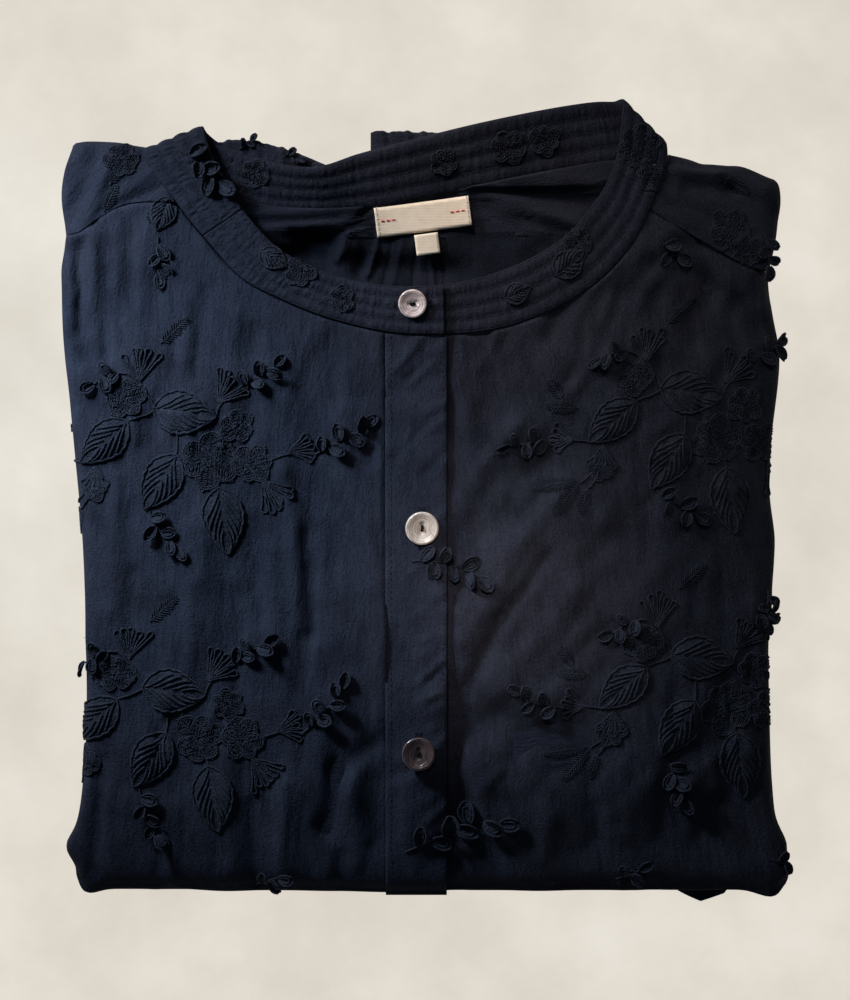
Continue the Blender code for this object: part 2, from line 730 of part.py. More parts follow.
def roll_place(point, edge, amount):
    """A point of the hidden layers where they turn down, inside the front's fold."""
    top = hidden_height(*point)
    way = edge.normalized()
    radius = (top + UNDER_FRONT - fold_end(way)) / (1 - math.cos(ROLL)) - UNDER_FRONT - SIDE_SLACK
    radius = max(radius, SIDE_SLACK / 2)
    angle = amount * ROLL
    reach = way * radius * math.sin(angle)
    return Vector((point.x + reach.x, point.y + reach.y, top - radius + radius * math.cos(angle)))


def layer_place(point, edge, inset, height, share):
    """A point on the edge of one of the layers below the front's fold."""
    way = edge.normalized()
    toward_bottom = max(-way.y, 0) ** 2
    fold = Vector((SIDE_FOLD, SIDE_FOLD)).lerp(Vector((SIDE_FOLD, BOTTOM_FOLD)), toward_bottom)
    bottom_height = BOTTOM_LAYER_HEIGHT * (1 - share)
    inset += (BOTTOM_LAYER_INSET - inset) * toward_bottom
    height += (bottom_height - height) * toward_bottom
    x = point.x + way.x * (fold.x - inset)
    y = point.y + way.y * (fold.y - inset)
    return Vector((x, y, height))


def sleeve(name, fold, collection, finish):
    """The end of a sleeve that shows: cloth folded over, with the open side under the back."""
    columns, turns = 7, 8
    bm = bmesh.new()
    bmesh.ops.create_grid(bm, x_segments=columns, y_segments=turns, size=1)
    for vert in bm.verts:
        u, v = (vert.co.x + 1) / 2, vert.co.y
        edge = along(fold, u)
        inward = max(abs(v) * 2 - 1, 0)
        half = SLEEVE_HALF + SLEEVE_SWELL * (1 - inward) ** 3 * (1 + 0.3 * math.sin(u * 9))
        angle = max(min(v * 2, 1), -1) * math.pi / 2
        y = edge.y - half * (1 - math.cos(angle))
        y += (SLEEVE_INNER - y) * inward
        vert.co = Vector((edge.x, y, SLEEVE_MIDDLE + half * math.sin(angle)))
    obj = add_object(name, bm, collection, finish)
    solidify = obj.modifiers.new("Cloth", "SOLIDIFY")
    solidify.thickness = SLEEVE_CLOTH
    solidify.offset = 1
    return obj


def strip(name, centre, size, turn, counts, height, curl, collection, finish):
    """A woven label: a small strip that lies on the inside of the back, its ends curling up."""
    bm = bmesh.new()
    bmesh.ops.create_grid(bm, x_segments=counts[0], y_segments=counts[1], size=0.5)
    spin = Matrix.Rotation(turn, 2)
    for vert in bm.verts:
        place = spin @ Vector((vert.co.x * size[0], vert.co.y * size[1])) + Vector(centre)
        lift = curl * (2 * vert.co.x) ** 4
        vert.co = Vector((*place, height(*place) + CLEAR + LABEL_CLOTH + lift))
    obj = add_object(name, bm, collection, finish)
    solidify = obj.modifiers.new("Cloth", "SOLIDIFY")
    solidify.thickness = LABEL_CLOTH
    solidify.offset = -1
    return obj


def tab_height(x, y):
    return inside_height(x, y) + TAB_LIFT


def hem_corner(collection, finish):
    """The corner of the hem that shows under the bottom fold, flat on the surface."""
    outline = bpy.data.curves.new("hem_corner", "CURVE")
    outline.dimensions = "2D"
    outline.fill_mode = "BOTH"
    outline.extrude = HEM_CLOTH / 2
    spline = outline.splines.new("POLY")
    spline.points.add(len(HEM_CORNER) - 1)
    for point, (x, y) in zip(spline.points, HEM_CORNER):
        point.co = (x, y, 0, 1)
    spline.use_cyclic_u = True
    outline.materials.append(finish)
    obj = bpy.data.objects.new("hem_corner", outline)
    obj.location.z = HEM_CLOTH / 2
    collection.objects.link(obj)
    return obj


def button_profile(radius):
    """Half a button's section, from the middle of its dish out over the rim and under."""
    return [
        (0.0, BUTTON_DISH),
        (radius - 2.2 * BUTTON_RIM, BUTTON_DISH),
        (radius - BUTTON_RIM, BUTTON_HEIGHT),
        (radius - 0.25 * BUTTON_RIM, BUTTON_HEIGHT - 0.0002),
        (radius, BUTTON_HEIGHT / 2),
        (radius - 0.5 * BUTTON_RIM, 0.0),
        (0.0, 0.0),
    ]


def holes(name, cutters, finish):
    """A cutter for a button's two holes, one above the other."""
    bm = bmesh.new()
    for side in (-1, 1):
        place = Matrix.Translation((0, side * BUTTON_HOLE_APART / 2, BUTTON_HEIGHT / 2))
        bmesh.ops.create_cone(
            bm,
            cap_ends=True,
            segments=10,
            radius1=BUTTON_HOLE,
            radius2=BUTTON_HOLE,
            depth=3 * BUTTON_HEIGHT,
            matrix=place,
        )
    obj = add_object(name, bm, cutters, finish)
    obj.hide_render = True
    obj.display_type = "WIRE"
    return obj


def button(name, row, base, collection, cutters, finish):
    x, y, radius = row
    profile = button_profile(radius)
    bm = bmesh.new()
    verts = [bm.verts.new((across, 0, height)) for across, height in profile]
    for first, second in zip(verts, verts[1:]):
        bm.edges.new((first, second))
    obj = add_object(name, bm, collection, finish)
    screw = obj.modifiers.new("Turn", "SCREW")
    screw.steps = 24
    screw.render_steps = 24
    screw.use_merge_vertices = True
    screw.merge_threshold = 0.00001
    cutter = holes(name + "_holes", cutters, finish)
    cut = obj.modifiers.new("Holes", "BOOLEAN")
    cut.operation = "DIFFERENCE"
    cut.object = cutter
    for item in (obj, cutter):
        item.location = (x, y, base)
    return obj


def main():
    clear_scene()
    blouse = new_collection("blouse")
    cutters = new_collection("cutters")
    cloth = material("navy_cotton", (0.020, 0.026, 0.045), 0.9)
    shell = material("shell", (0.55, 0.44, 0.38), 0.3)
    woven = material("label_weave", (0.72, 0.70, 0.64), 0.8)

    folded_layers(blouse, cloth)

    right = panel(
        "front_right", right_front_flat(), right_front_height, (20, 32), (1, 0, 1, 0), blouse, cloth
    )
    raise_outside(right, partial(embroidery, LEAVES_RIGHT, BUDS_RIGHT), PETAL_HEIGHT)
    left = panel(
        "front_left", left_front_flat(), left_front_height, (20, 32), (0, 1, 1, 0), blouse, cloth
    )
    raise_outside(left, partial(embroidery, LEAVES_LEFT, BUDS_LEFT), PETAL_HEIGHT)
    over_front = CLEAR + PLACKET_CLOTH
    panel(
        "placket", placket_flat(), crown, (3, 24), (0, 0, 1, 0), blouse, cloth, over_front, PLACKET_CLOTH
    )

    right_yoke = yoke_flat(
        RIGHT_YOKE_SEAM, RIGHT_YOKE_RIB - len(NECK), RIGHT_YOKE_TOP_RIB - len(NECK), LEFT_EDGE, SIDE_FOLD
    )
    panel(
        "yoke_right", right_yoke, partial(yoke_height, FOLDS_RIGHT_YOKE), (5, 6), (1, 0, 0, 1), blouse, cloth
    )
    left_yoke = yoke_flat(LEFT_YOKE_SEAM, LEFT_YOKE_RIB, LEFT_YOKE_TOP_RIB, RIGHT_EDGE, -SIDE_FOLD)
    panel(
        "yoke_left",
        mirrored(left_yoke),
        partial(yoke_height, FOLDS_LEFT_YOKE),
        (5, 6),
        (0, 1, 0, 1),
        blouse,
        cloth,
    )

    panel("back_yoke", back_yoke_flat(), inside_height, (14, 4), (0, 0, 0, 0), blouse, cloth)
    panel("back", back_flat(), gathered_height, (44, 4), (0, 0, 0, 0), blouse, cloth)

    join = 0.012
    band("neckband_right", join, CENTRE_RIB, 12, blouse, cloth, lift_from=3.0)
    band("neckband_left", LEFT_BAND_RIB, RIGHT_JOIN_RIB - join, 14, blouse, cloth)
    band("neckband_back", RIGHT_JOIN_RIB + join, len(NECK) - join, 28, blouse, cloth)

    sleeve("sleeve_right", SLEEVE_RIGHT_FOLD, blouse, cloth)
    sleeve("sleeve_left", SLEEVE_LEFT_FOLD, blouse, cloth)
    hem_corner(blouse, cloth)

    strip("label", LABEL_CENTRE, LABEL_SIZE, LABEL_TURN, (10, 2), inside_height, LABEL_CURL, blouse, woven)
    strip("size_tab", TAB_CENTRE, TAB_SIZE, LABEL_TURN, (2, 3), tab_height, 0.0, blouse, woven)

    for i, row in enumerate(BUTTONS):
        base = crown(row[0], row[1]) + over_front + CLEAR
        if i == 0:
            base = crown(row[0], row[1]) + BAND_LIFT + BAND_THICK + 2 * CLEAR
        button(f"button_{i + 1}", row, base, blouse, cutters, shell)


main()
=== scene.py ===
"""The folded embroidered blouse: its cloth, stitching, embroidery, buttons and label, on a pale surface."""

import json
import math
import random

import bmesh
import bpy
import numpy as np
from mathutils import Matrix, Vector
from mathutils.bvhtree import BVHTree

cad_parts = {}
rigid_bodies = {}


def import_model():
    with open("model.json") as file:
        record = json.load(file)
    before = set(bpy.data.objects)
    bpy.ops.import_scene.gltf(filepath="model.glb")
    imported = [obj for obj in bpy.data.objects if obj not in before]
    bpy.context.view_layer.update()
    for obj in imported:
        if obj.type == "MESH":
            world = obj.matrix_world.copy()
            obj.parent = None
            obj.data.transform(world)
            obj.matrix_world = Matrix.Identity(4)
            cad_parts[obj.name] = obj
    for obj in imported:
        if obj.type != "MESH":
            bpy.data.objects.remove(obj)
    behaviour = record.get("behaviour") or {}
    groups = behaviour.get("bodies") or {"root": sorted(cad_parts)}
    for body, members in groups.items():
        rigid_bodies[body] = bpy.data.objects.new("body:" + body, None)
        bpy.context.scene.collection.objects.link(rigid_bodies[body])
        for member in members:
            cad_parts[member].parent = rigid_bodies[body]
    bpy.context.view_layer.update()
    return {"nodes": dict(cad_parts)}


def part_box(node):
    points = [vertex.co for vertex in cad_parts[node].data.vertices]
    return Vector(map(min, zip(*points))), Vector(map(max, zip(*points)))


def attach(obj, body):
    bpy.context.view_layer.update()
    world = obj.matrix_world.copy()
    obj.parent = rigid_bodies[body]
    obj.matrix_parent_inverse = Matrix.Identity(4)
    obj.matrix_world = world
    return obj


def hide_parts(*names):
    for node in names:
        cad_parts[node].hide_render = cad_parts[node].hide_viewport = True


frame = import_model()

# Hidden layers. The sides, sleeves and lower body, folded behind in a stack; they show only at its edges,
# as rounded folds one above the other. They are crinkled cotton voile, dyed navy: soft folds and fine
# wrinkles run one way over the grain of the yarn, and the colour is paler along the wrinkles' tops.
MM = 0.001
NAVY = (0.0122, 0.0139, 0.0224, 1)
NAVY_PALE = (0.0258, 0.0288, 0.0430, 1)
PLUM = (0.0170, 0.0140, 0.0200, 1)
FOLDS_PER_METRE = 80
CRINKLES_PER_METRE = 420
GRAIN_PER_METRE = 1150
MOTTLES_PER_METRE = 60
PATCHES_PER_METRE = 17
FOLD_SQUEEZE = (1, 0.36, 1)  # folds and crinkles run on further along the cloth than across it
CRINKLE_SQUEEZE = (1, 0.24, 1)
CRINKLE_SHARE = 0.34  # of the folds' height
GRAIN_SHARE = 0.20
JOIN = 0.00001
SHARP = math.radians(56)
DEEPEST_FOLD = 0.0075  # beyond it, the cloth would pass through the layer below
EDGE_FOOT = 0.008  # cloth that has turned down round an edge, below this height, has no folds laid in it
EDGE_RISE = 0.010


def add_node(tree, kind, inputs=None, **settings):
    """A shader node with its settings; each input is a value, or another node's output to link."""
    made = tree.nodes.new("ShaderNode" + kind)
    for key, value in settings.items():
        setattr(made, key, value)
    for key, value in (inputs or {}).items():
        if isinstance(value, bpy.types.NodeSocket):
            tree.links.new(value, made.inputs[key])
        else:
            made.inputs[key].default_value = value
    return made.outputs


def noise(tree, place, scale, detail, roughness=0.5, distortion=0.0):
    """Uneven values over a place, about so many lumps to a metre."""
    inputs = {"Vector": place, "Scale": scale, "Detail": detail}
    return add_node(tree, "TexNoise", {**inputs, "Roughness": roughness, "Distortion": distortion})["Fac"]


def squeezed(tree, place, by):
    """A place multiplied, so that what is laid over it is drawn out where by is small."""
    return add_node(tree, "VectorMath", {0: place, 1: by}, operation="MULTIPLY")["Vector"]


def add_share(tree, part, share, to):
    """A share of one value, added to another."""
    return add_node(tree, "Math", {0: part, 1: share, 2: to}, operation="MULTIPLY_ADD")["Value"]


def spread(tree, value, low, high, top=1.0):
    """A value spread out, to run from 0 at low to top at high."""
    inputs = {"Value": value, "From Min": low, "From Max": high, "To Max": top}
    return add_node(tree, "MapRange", inputs)["Result"]


def blend(tree, share, first, second):
    """A colour between two, with a share of the second."""
    return add_node(tree, "Mix", {"Factor": share, 6: first, 7: second}, data_type="RGBA")[2]


def new_group(name, inputs, outputs):
    """A node group with named sockets: inputs are (name, kind, value) and outputs (name, kind)."""
    group = bpy.data.node_groups.new(name, "ShaderNodeTree")
    for label, kind, value in inputs:
        socket = group.interface.new_socket(label, in_out="INPUT", socket_type="NodeSocket" + kind)
        socket.default_value = value
    for label, kind in outputs:
        group.interface.new_socket(label, in_out="OUTPUT", socket_type="NodeSocket" + kind)
    given = group.nodes.new("NodeGroupInput").outputs
    result = group.nodes.new("NodeGroupOutput").inputs
    return group, given, result


cotton, given, result = new_group(
    "crinkled_cotton",
    [
        ("Colour", "Color", NAVY),
        ("Pale Colour", "Color", NAVY_PALE),
        ("Crinkle Turn", "Float", 0.0),
        ("Crinkle Height", "Float", 1.0),
    ],
    [("Colour", "Color"), ("Height", "Float")],
)
place = add_node(cotton, "TexCoord")["Object"]
turned = add_node(
    cotton, "VectorRotate", {"Vector": place, "Angle": given["Crinkle Turn"]}, rotation_type="Z_AXIS"
)["Vector"]
folds = noise(cotton, squeezed(cotton, turned, FOLD_SQUEEZE), FOLDS_PER_METRE, 1, 0.4, 0.5)
crinkles = noise(cotton, squeezed(cotton, turned, CRINKLE_SQUEEZE), CRINKLES_PER_METRE, 5, 0.62, 0.6)
grain = noise(cotton, place, GRAIN_PER_METRE, 3, 0.6)
mottle = noise(cotton, place, MOTTLES_PER_METRE, 4)
patches = noise(cotton, place, PATCHES_PER_METRE, 2)
wrinkled = add_share(cotton, crinkles, CRINKLE_SHARE, folds)
wrinkled = add_node(
    cotton, "Math", {0: wrinkled, 1: given["Crinkle Height"]}, operation="MULTIPLY"
)["Value"]
height = add_share(cotton, grain, GRAIN_SHARE, wrinkled)
# the colour goes paler with the height of the crinkles and the grain, and in random spots
paleness = add_share(cotton, grain, 1.3, add_share(cotton, crinkles, 0.6, mottle))
plum = spread(cotton, patches, 0.48, 0.66, 0.55)
base = blend(cotton, plum, given["Colour"], PLUM)
dyed = blend(cotton, spread(cotton, paleness, 1.16, 1.76), base, given["Pale Colour"])
cotton.links.new(dyed, result["Colour"])
cotton.links.new(height, result["Height"])


def new_finish(name, settings):
    """A material with its node tree and its shader, set as given."""
    made = bpy.data.materials.new(name)
    made.use_nodes = True
    shader = made.node_tree.nodes["Principled BSDF"]
    for key, value in settings.items():
        shader.inputs[key].default_value = value
    return made, made.node_tree, shader


def colour_and_relief(tree, shader, colour, height, relief):
    """Give a shader its colour, and a bump whose height stands for relief in metres."""
    tree.links.new(colour, shader.inputs["Base Color"])
    bump = add_node(tree, "Bump", {"Height": height, "Distance": relief})
    tree.links.new(bump["Normal"], shader.inputs["Normal"])


def grouped_finish(name, effect, values, settings, relief):
    """A material whose colour and height come from a node group."""
    made, tree, shader = new_finish(name, settings)
    group = tree.nodes.new("ShaderNodeGroup")
    group.node_tree = effect
    for key, value in values.items():
        group.inputs[key].default_value = value
    colour_and_relief(tree, shader, group.outputs["Colour"], group.outputs["Height"], relief)
    return made


def cloth_finish(name, colour, pale, turn=0.0, crinkle=1.0, relief=0.0022):
    """A cotton material; turn is the way its wrinkles run, in degrees from the garment's length."""
    values = {
        "Colour": colour,
        "Pale Colour": pale,
        "Crinkle Turn": math.radians(turn),
        "Crinkle Height": crinkle,
    }
    return grouped_finish(name, cotton, values, {"Roughness": 0.86, "Specular IOR Level": 0.05}, relief)


def new_object(name, data):
    """An object of the scene that shows the data."""
    made = bpy.data.objects.new(name, data)
    bpy.context.scene.collection.objects.link(made)
    return made


def add_piece(name, data, finish):
    """An object of the garment that rides with it and has a finish."""
    piece = new_object(name, data)
    data.materials.clear()
    data.materials.append(finish)
    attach(piece, "root")
    return piece


def fine_mesh(node, levels, sharp=SHARP):
    """A CAD node's form as a fine smooth mesh that keeps its cut edges."""
    bm = bmesh.new()
    bm.from_mesh(frame["nodes"][node].data)
    bmesh.ops.remove_doubles(bm, verts=bm.verts, dist=JOIN)
    bmesh.ops.join_triangles(bm, faces=bm.faces, angle_face_threshold=0.8, angle_shape_threshold=1.0)
    crease = bm.edges.layers.float.new("crease_edge")
    for edge in bm.edges:
        edge[crease] = float(edge.calc_face_angle(0) > sharp)
    coarse = bpy.data.meshes.new(node)
    bm.to_mesh(coarse)
    bm.free()
    holder = new_object(node, coarse)
    smooth = holder.modifiers.new("Fine", "SUBSURF")
    smooth.levels = smooth.render_levels = levels
    fine = bpy.data.meshes.new_from_object(holder.evaluated_get(bpy.context.evaluated_depsgraph_get()))
    bpy.data.objects.remove(holder)
    bpy.data.meshes.remove(coarse)
    fine.shade_smooth()
    return fine


def points_of(mesh):
    """A mesh's points, one to a row, in metres."""
    spots = np.empty(len(mesh.vertices) * 3)
    mesh.vertices.foreach_get("co", spots)
    return spots.reshape(-1, 3)


def set_points(mesh, spots):
    mesh.vertices.foreach_set("co", spots.ravel())
    mesh.update()


def smoothstep(low, high, value):
    """0 below low, 1 above high, and a smooth rise between them."""
    share = np.clip((value - low) / (high - low), 0, 1)
    return share * share * (3 - 2 * share)


def folds_lift(spots, folds):
    """How far rows of folds lift each point: x0, y0, x1, y1, half-width and height in millimetres."""
    lift = np.zeros(len(spots))
    for x0, y0, x1, y1, half_width, height in np.array(folds) * MM:
        run = np.array((x1 - x0, y1 - y0))
        off = spots[:, :2] - (x0, y0)
        share = np.clip(off @ run / (run @ run), 0, 1)
        away = off - share[:, None] * run
        lift += height * np.exp(-(away**2).sum(axis=1) / half_width**2)
    return lift


def small_folds(seed, count, box, heading, length, half_width, height):
    """Rows of small folds, uneven in place, length and depth, for folds_lift."""
    rng = random.Random(seed)
    rows = []
    for _ in range(count):
        x = rng.uniform(box[0], box[2])
        y = rng.uniform(box[1], box[3])
        turn = math.radians(heading + rng.gauss(0, 9))
        reach = length * rng.uniform(0.5, 1.4)
        rise = height * rng.uniform(0.4, 1.2) * rng.choice((-1, 1))
        end_x = x + reach * math.cos(turn)
        end_y = y + reach * math.sin(turn)
        rows.append((x, y, end_x, end_y, half_width * rng.uniform(0.7, 1.4), rise))
    return rows


def lay_folds(mesh, folds):
    """Lift the top of a piece of cloth by its folds, less and less as it turns down round an edge."""
    spots = points_of(mesh)
    upper = np.clip((spots[:, 2] - EDGE_FOOT) / EDGE_RISE, 0, 1)
    spots[:, 2] += np.maximum(folds_lift(spots, folds), -DEEPEST_FOLD) * upper
    set_points(mesh, spots)


def tug(mesh, tugs):
    """Shift the cloth near each line from x0, y0 to x1, y1, within a reach, by dx and dy in millimetres."""
    spots = points_of(mesh)
    for x0, y0, x1, y1, reach, *shift in np.array(tugs) * MM:
        run = np.array((x1 - x0, y1 - y0))
        off = spots[:, :2] - (x0, y0)
        away = off - np.clip(off @ run / (run @ run), 0, 1)[:, None] * run
        spots[:, :2] += np.exp(-(away**2).sum(axis=1) / reach**2)[:, None] * shift
    set_points(mesh, spots)


SINKS = [  # where the stack sinks: at its lower and right edges, and in the darkest folds
    (-160, -172, 160, -172, 44, -6.5),
    (-18, -104, -19, -166, 9.0, -3.2),
    (14, -96, 16, -166, 8.0, -2.4),
    (26, -96, 78, -20, 9.0, -2.0),
    (10, -30, 52, 22, 8.0, -1.4),
    (-146, 104, -141, 60, 4.5, -2.2),
    (158, 70, 158, -170, 40, -6.0),
    (30, -176, 170, -176, 40, -4.0),
]
TUGS = [  # where its outline bulges or draws in, for every piece that reaches the edge
    (-128, -168, 138, -168, 10, 0.0, -1.7),
    (-146, -146, -146, -147, 6, -3.4, 0.0),
    (-141, -165, -140, -165, 5, -1.4, -2.6),
    (-128, -168, -100, -168, 6, 0.0, 0.5),
    (149, -146, 150, -158, 8, 4.6, -0.6),
    (146, -165, 147, -165, 6, 2.4, -3.6),
    (-149, 138, -149, 100, 9, -1.6, 0.0),
    (105, 152, 116, 149, 8, 0.0, -6.6),
    (126, 146, 127, 146, 7, 0.0, -3.2),
    (150, 60, 150, 20, 12, 1.2, 0.0),
    (150, -20, 150, -40, 14, 1.8, 0.0),
]
NECK_HOLLOWS = [
    (-52, 110, -38, 110, 4.5, -4.2),
    (-46, 104, -38, 103, 4.0, -3.4),
    (-60, 106, -42, 99, 6.0, -3.4),
    (-26, 99, 14, 97, 6.0, -3.6),
]

layers_finish = cloth_finish("hidden_cotton", NAVY, NAVY_PALE, turn=90)
layers = add_piece("hidden_layers", fine_mesh("folded_layers", 2, math.radians(100)), layers_finish)
lay_folds(layers.data, SINKS)
# Under the neck they lie lower still, clear of the inner cloth's folds.
under_neck = [*NECK_HOLLOWS, (-20, 113, 60, 116, 12, -2.8), (-20, 98, 40, 97, 8, -1.5)]
spots = points_of(layers.data)
spots[:, 2] += folds_lift(spots, under_neck) * np.clip((spots[:, 2] - 0.006) / 0.003, 0, 1)
set_points(layers.data, spots)
tug(layers.data, TUGS)
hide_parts("folded_layers")

# Right front, on the left of the picture: the same cotton, cut in one piece from neck to hem and sewn to
# the yoke. Small pleats hang from that seam at the shoulder, and long soft wrinkles run down to the fold
# across the body.
RIGHT_FOLDS = [
    (-146, 110, -147, 84, 2.2, 1.1),
    (-141, 108, -144, 70, 2.4, -1.8),
    (-136.5, 112, -140, 78, 2.0, 1.3),
    (-131, 108, -133, 60, 2.4, -1.4),
    (-127, 118, -129, 88, 2.0, 1.1),
    (-121, 118, -122, 82, 2.2, -1.3),
    (-116, 116, -117, 60, 2.6, 1.0),
    (-109, 104, -110, 74, 2.2, -1.0),
    (-98, 96, -99, 60, 3.0, 0.8),
    (-91, 88, -95, 52, 2.6, -1.0),
    (-78, 78, -82, 40, 3.2, 1.0),
    (-70, 70, -74, 22, 3.6, -1.1),
    (-56, 64, -58, 12, 4.0, 0.8),
    (-44, 60, -43, 20, 3.4, -0.8),
    (-30, 56, -33, -4, 4.4, 0.8),
    (-128, 10, -130, -46, 3.4, 1.3),
    (-121, -30, -124, -70, 3.0, -1.3),
    (-96, -34, -98, -72, 3.6, 1.0),
    (-76, -40, -80, -96, 4.2, -1.1),
    (-64, -20, -62, -60, 4.0, 1.0),
    (-48, -30, -52, -100, 4.6, -1.1),
    (-36, -96, -34, -150, 4.6, -1.6),
    (-26, -112, -40, -158, 4.0, 1.4),
    (-58, -120, -60, -158, 3.6, 1.3),
    (-72, -128, -70, -160, 3.0, -1.1),
    (-104, -128, -106, -160, 3.4, 1.1),
    (-134, -110, -138, -156, 3.2, -1.3),
    # Broad soft ones, and the fold that curls in beside the placket.
    (-140, 2, -108, -38, 3.2, 1.7),
    (-57, 12, -50, -52, 4.0, 1.8),
    (-47, -14, -45, -56, 3.6, -1.5),
    (-93, 30, -92, -58, 9.0, 1.3),
    (-70, 0, -66, -60, 6.0, -1.3),
    (-39, 64, -36, 44, 6.0, -1.8),
    (-27, 42, -20, 22, 5.0, -1.3),
    (-44, -38, -18, -62, 12.0, 1.8),
    (-34, -76, -24, -96, 7.0, -1.0),
    (-82, -70, -80, -155, 4.0, 1.0),
    (-20, -103, -36, -114, 4.2, -1.5),
    (-36, -114, -41, -138, 4.2, -1.7),
    (-41, -138, -31, -163, 4.4, -1.7),
    (-27, -126, -26, -152, 7.0, 1.2),
    (-54, -118, -56, -156, 6.0, 1.2),
]
RIGHT_WRINKLES = [
    *small_folds(3, 60, (-148, -150, -18, 40), 91, 26, 2.6, 0.38),
    *small_folds(4, 36, (-148, 36, -96, 112), 92, 22, 1.7, 0.55),
    *small_folds(6, 30, (-128, 8, -80, 30), 86, 16, 1.6, 0.50),
    *small_folds(7, 30, (-128, -112, -80, -96), 88, 16, 1.6, 0.50),
]

cotton_right = cloth_finish("cotton_right", NAVY, NAVY_PALE, turn=1)
front_right = add_piece("front_right_cloth", fine_mesh("front_right", 2), cotton_right)
lay_folds(front_right.data, SINKS + RIGHT_FOLDS + RIGHT_WRINKLES)
spots = points_of(front_right.data)
spots[:, 0] += 0.0010 * np.clip((spots[:, 0] + 0.0168) / 0.0016, 0, 1)  # it goes in under the placket
set_points(front_right.data, spots)
tug(front_right.data, TUGS)
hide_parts("front_right")

# Left front, on the right of the picture: the same cotton, its colour painted a little greyer for the less
# blue light on this side. It goes in under the placket, and broad soft folds cross it aslant, up from the
# placket towards the arm.
LEFT_FOLDS = [
    (17, -84, 33, -50, 3.2, -1.9),
    (33, -50, 53, -23, 2.8, -1.7),
    (14, -42, 20, -25, 3.2, -1.2),
    (17, -58, 41, -17, 5.0, 1.7),
    (41, -17, 58, 8, 5.0, 1.2),
    (34, -80, 64, -38, 6.5, 2.3),
    (64, -38, 80, -24, 6.0, 1.6),
    (16, -92, 62, -104, 12.0, -2.9),
    (50, -78, 76, -56, 4.0, -1.2),
    (60, -30, 84, 4, 8.0, 1.2),
    (44, -6, 60, 14, 4.0, -1.2),
    (12, -8, 34, 24, 7.0, 1.2),
    (86, 6, 84, -80, 7.0, -1.4),
    (28, 62, 34, 36, 5.0, -1.3),
    (16, 66, 20, 30, 5.0, 0.9),
    (46, 70, 60, 40, 7.0, 1.0),
    (78, 96, 112, 118, 6.0, 1.6),
    (96, 98, 124, 112, 4.0, -1.4),
    (120, 100, 142, 82, 4.0, 1.3),
    (112, 96, 140, 72, 4.5, -1.5),
    (134, 74, 142, 50, 3.6, 1.1),
    (140, 111, 145, 100, 3.0, -2.2),
    (145, 100, 149, 86, 3.0, -2.4),
    (131, 108, 139, 96, 3.4, 1.5),
    (139, 96, 144, 80, 3.4, 1.5),
    (98, 84, 100, 44, 3.4, -0.8),
    (97, 12, 94, -26, 4.0, -1.2),
    (87, -126, 92, -118, 9.0, 1.8),
    (72, -116, 74, -150, 4.5, -1.3),
    (104, -112, 100, -156, 4.0, -1.2),
    (113, -120, 111, -160, 3.6, 1.2),
    (124, -128, 126, -162, 3.2, -1.0),
    (54, -134, 50, -160, 5.0, 1.1),
    (32, -128, 30, -160, 5.0, -1.1),
    (12, -24, 12, -90, 2.2, -1.2),
    (13, -90, 14, -160, 4.5, -2.6),
]
LEFT_WRINKLES = [
    *small_folds(8, 44, (16, -150, 148, 60), 88, 24, 2.6, 0.38),
    *small_folds(9, 44, (16, -130, 110, 60), 48, 26, 2.8, 0.75),
    *small_folds(13, 40, (20, 44, 130, 100), 68, 18, 3.2, 1.0),
    *small_folds(14, 40, (96, -150, 146, 90), 90, 20, 2.8, 0.85),
    *small_folds(10, 30, (96, 14, 140, 36), 88, 16, 1.6, 0.45),
    *small_folds(12, 30, (96, -98, 140, -80), 88, 16, 1.6, 0.45),
]

# The same navy, painted a little greyer and less blue: painted light of the less blue lamp on this side.
NAVY_PAINTED_GREYER = (0.0121, 0.0131, 0.0196, 1)
NAVY_PAINTED_GREYER_PALE = (0.0262, 0.0277, 0.0388, 1)
cotton_left = cloth_finish("cotton_left", NAVY_PAINTED_GREYER, NAVY_PAINTED_GREYER_PALE, turn=-12, relief=0.0026)
front_left = add_piece("front_left_cloth", fine_mesh("front_left", 2), cotton_left)
lay_folds(front_left.data, SINKS + LEFT_FOLDS + LEFT_WRINKLES)
tug(front_left.data, TUGS)
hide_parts("front_left")

# Placket. The strip down the right front that the buttons are on: cotton folded double, flat and sewn down
# over the front's edge, with its free edge to the right.
PLACKET_FOLDS = [
    (-12, 40, 8, 34, 5.0, 0.25),
    (-12, -36, 8, -46, 5.0, -0.3),
    (-10, -64, 9, -58, 4.0, 0.25),
    (-12, -126, 6, -120, 5.0, -0.3),
    (-6, -140, -4, -160, 3.0, 0.3),
    (-12, 44, 8, 52, 5.0, -0.8),
    (-12, 22, 8, 16, 6.0, 0.8),
]
cotton_placket = cloth_finish("cotton_placket", NAVY, NAVY_PALE, turn=2, crinkle=0.8)
placket = add_piece("placket_cloth", fine_mesh("placket", 3), cotton_placket)
lay_folds(placket.data, SINKS + PLACKET_FOLDS + small_folds(5, 40, (-12, -150, 8, 66), 40, 12, 2.0, 0.62))
spots = points_of(placket.data)
spots[:, 0] -= 0.0009 * np.clip((-0.0120 - spots[:, 0]) / 0.0020, 0, 1)  # sewn flat over the front's edge
set_points(placket.data, spots)
tug(placket.data, TUGS)
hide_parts("placket")

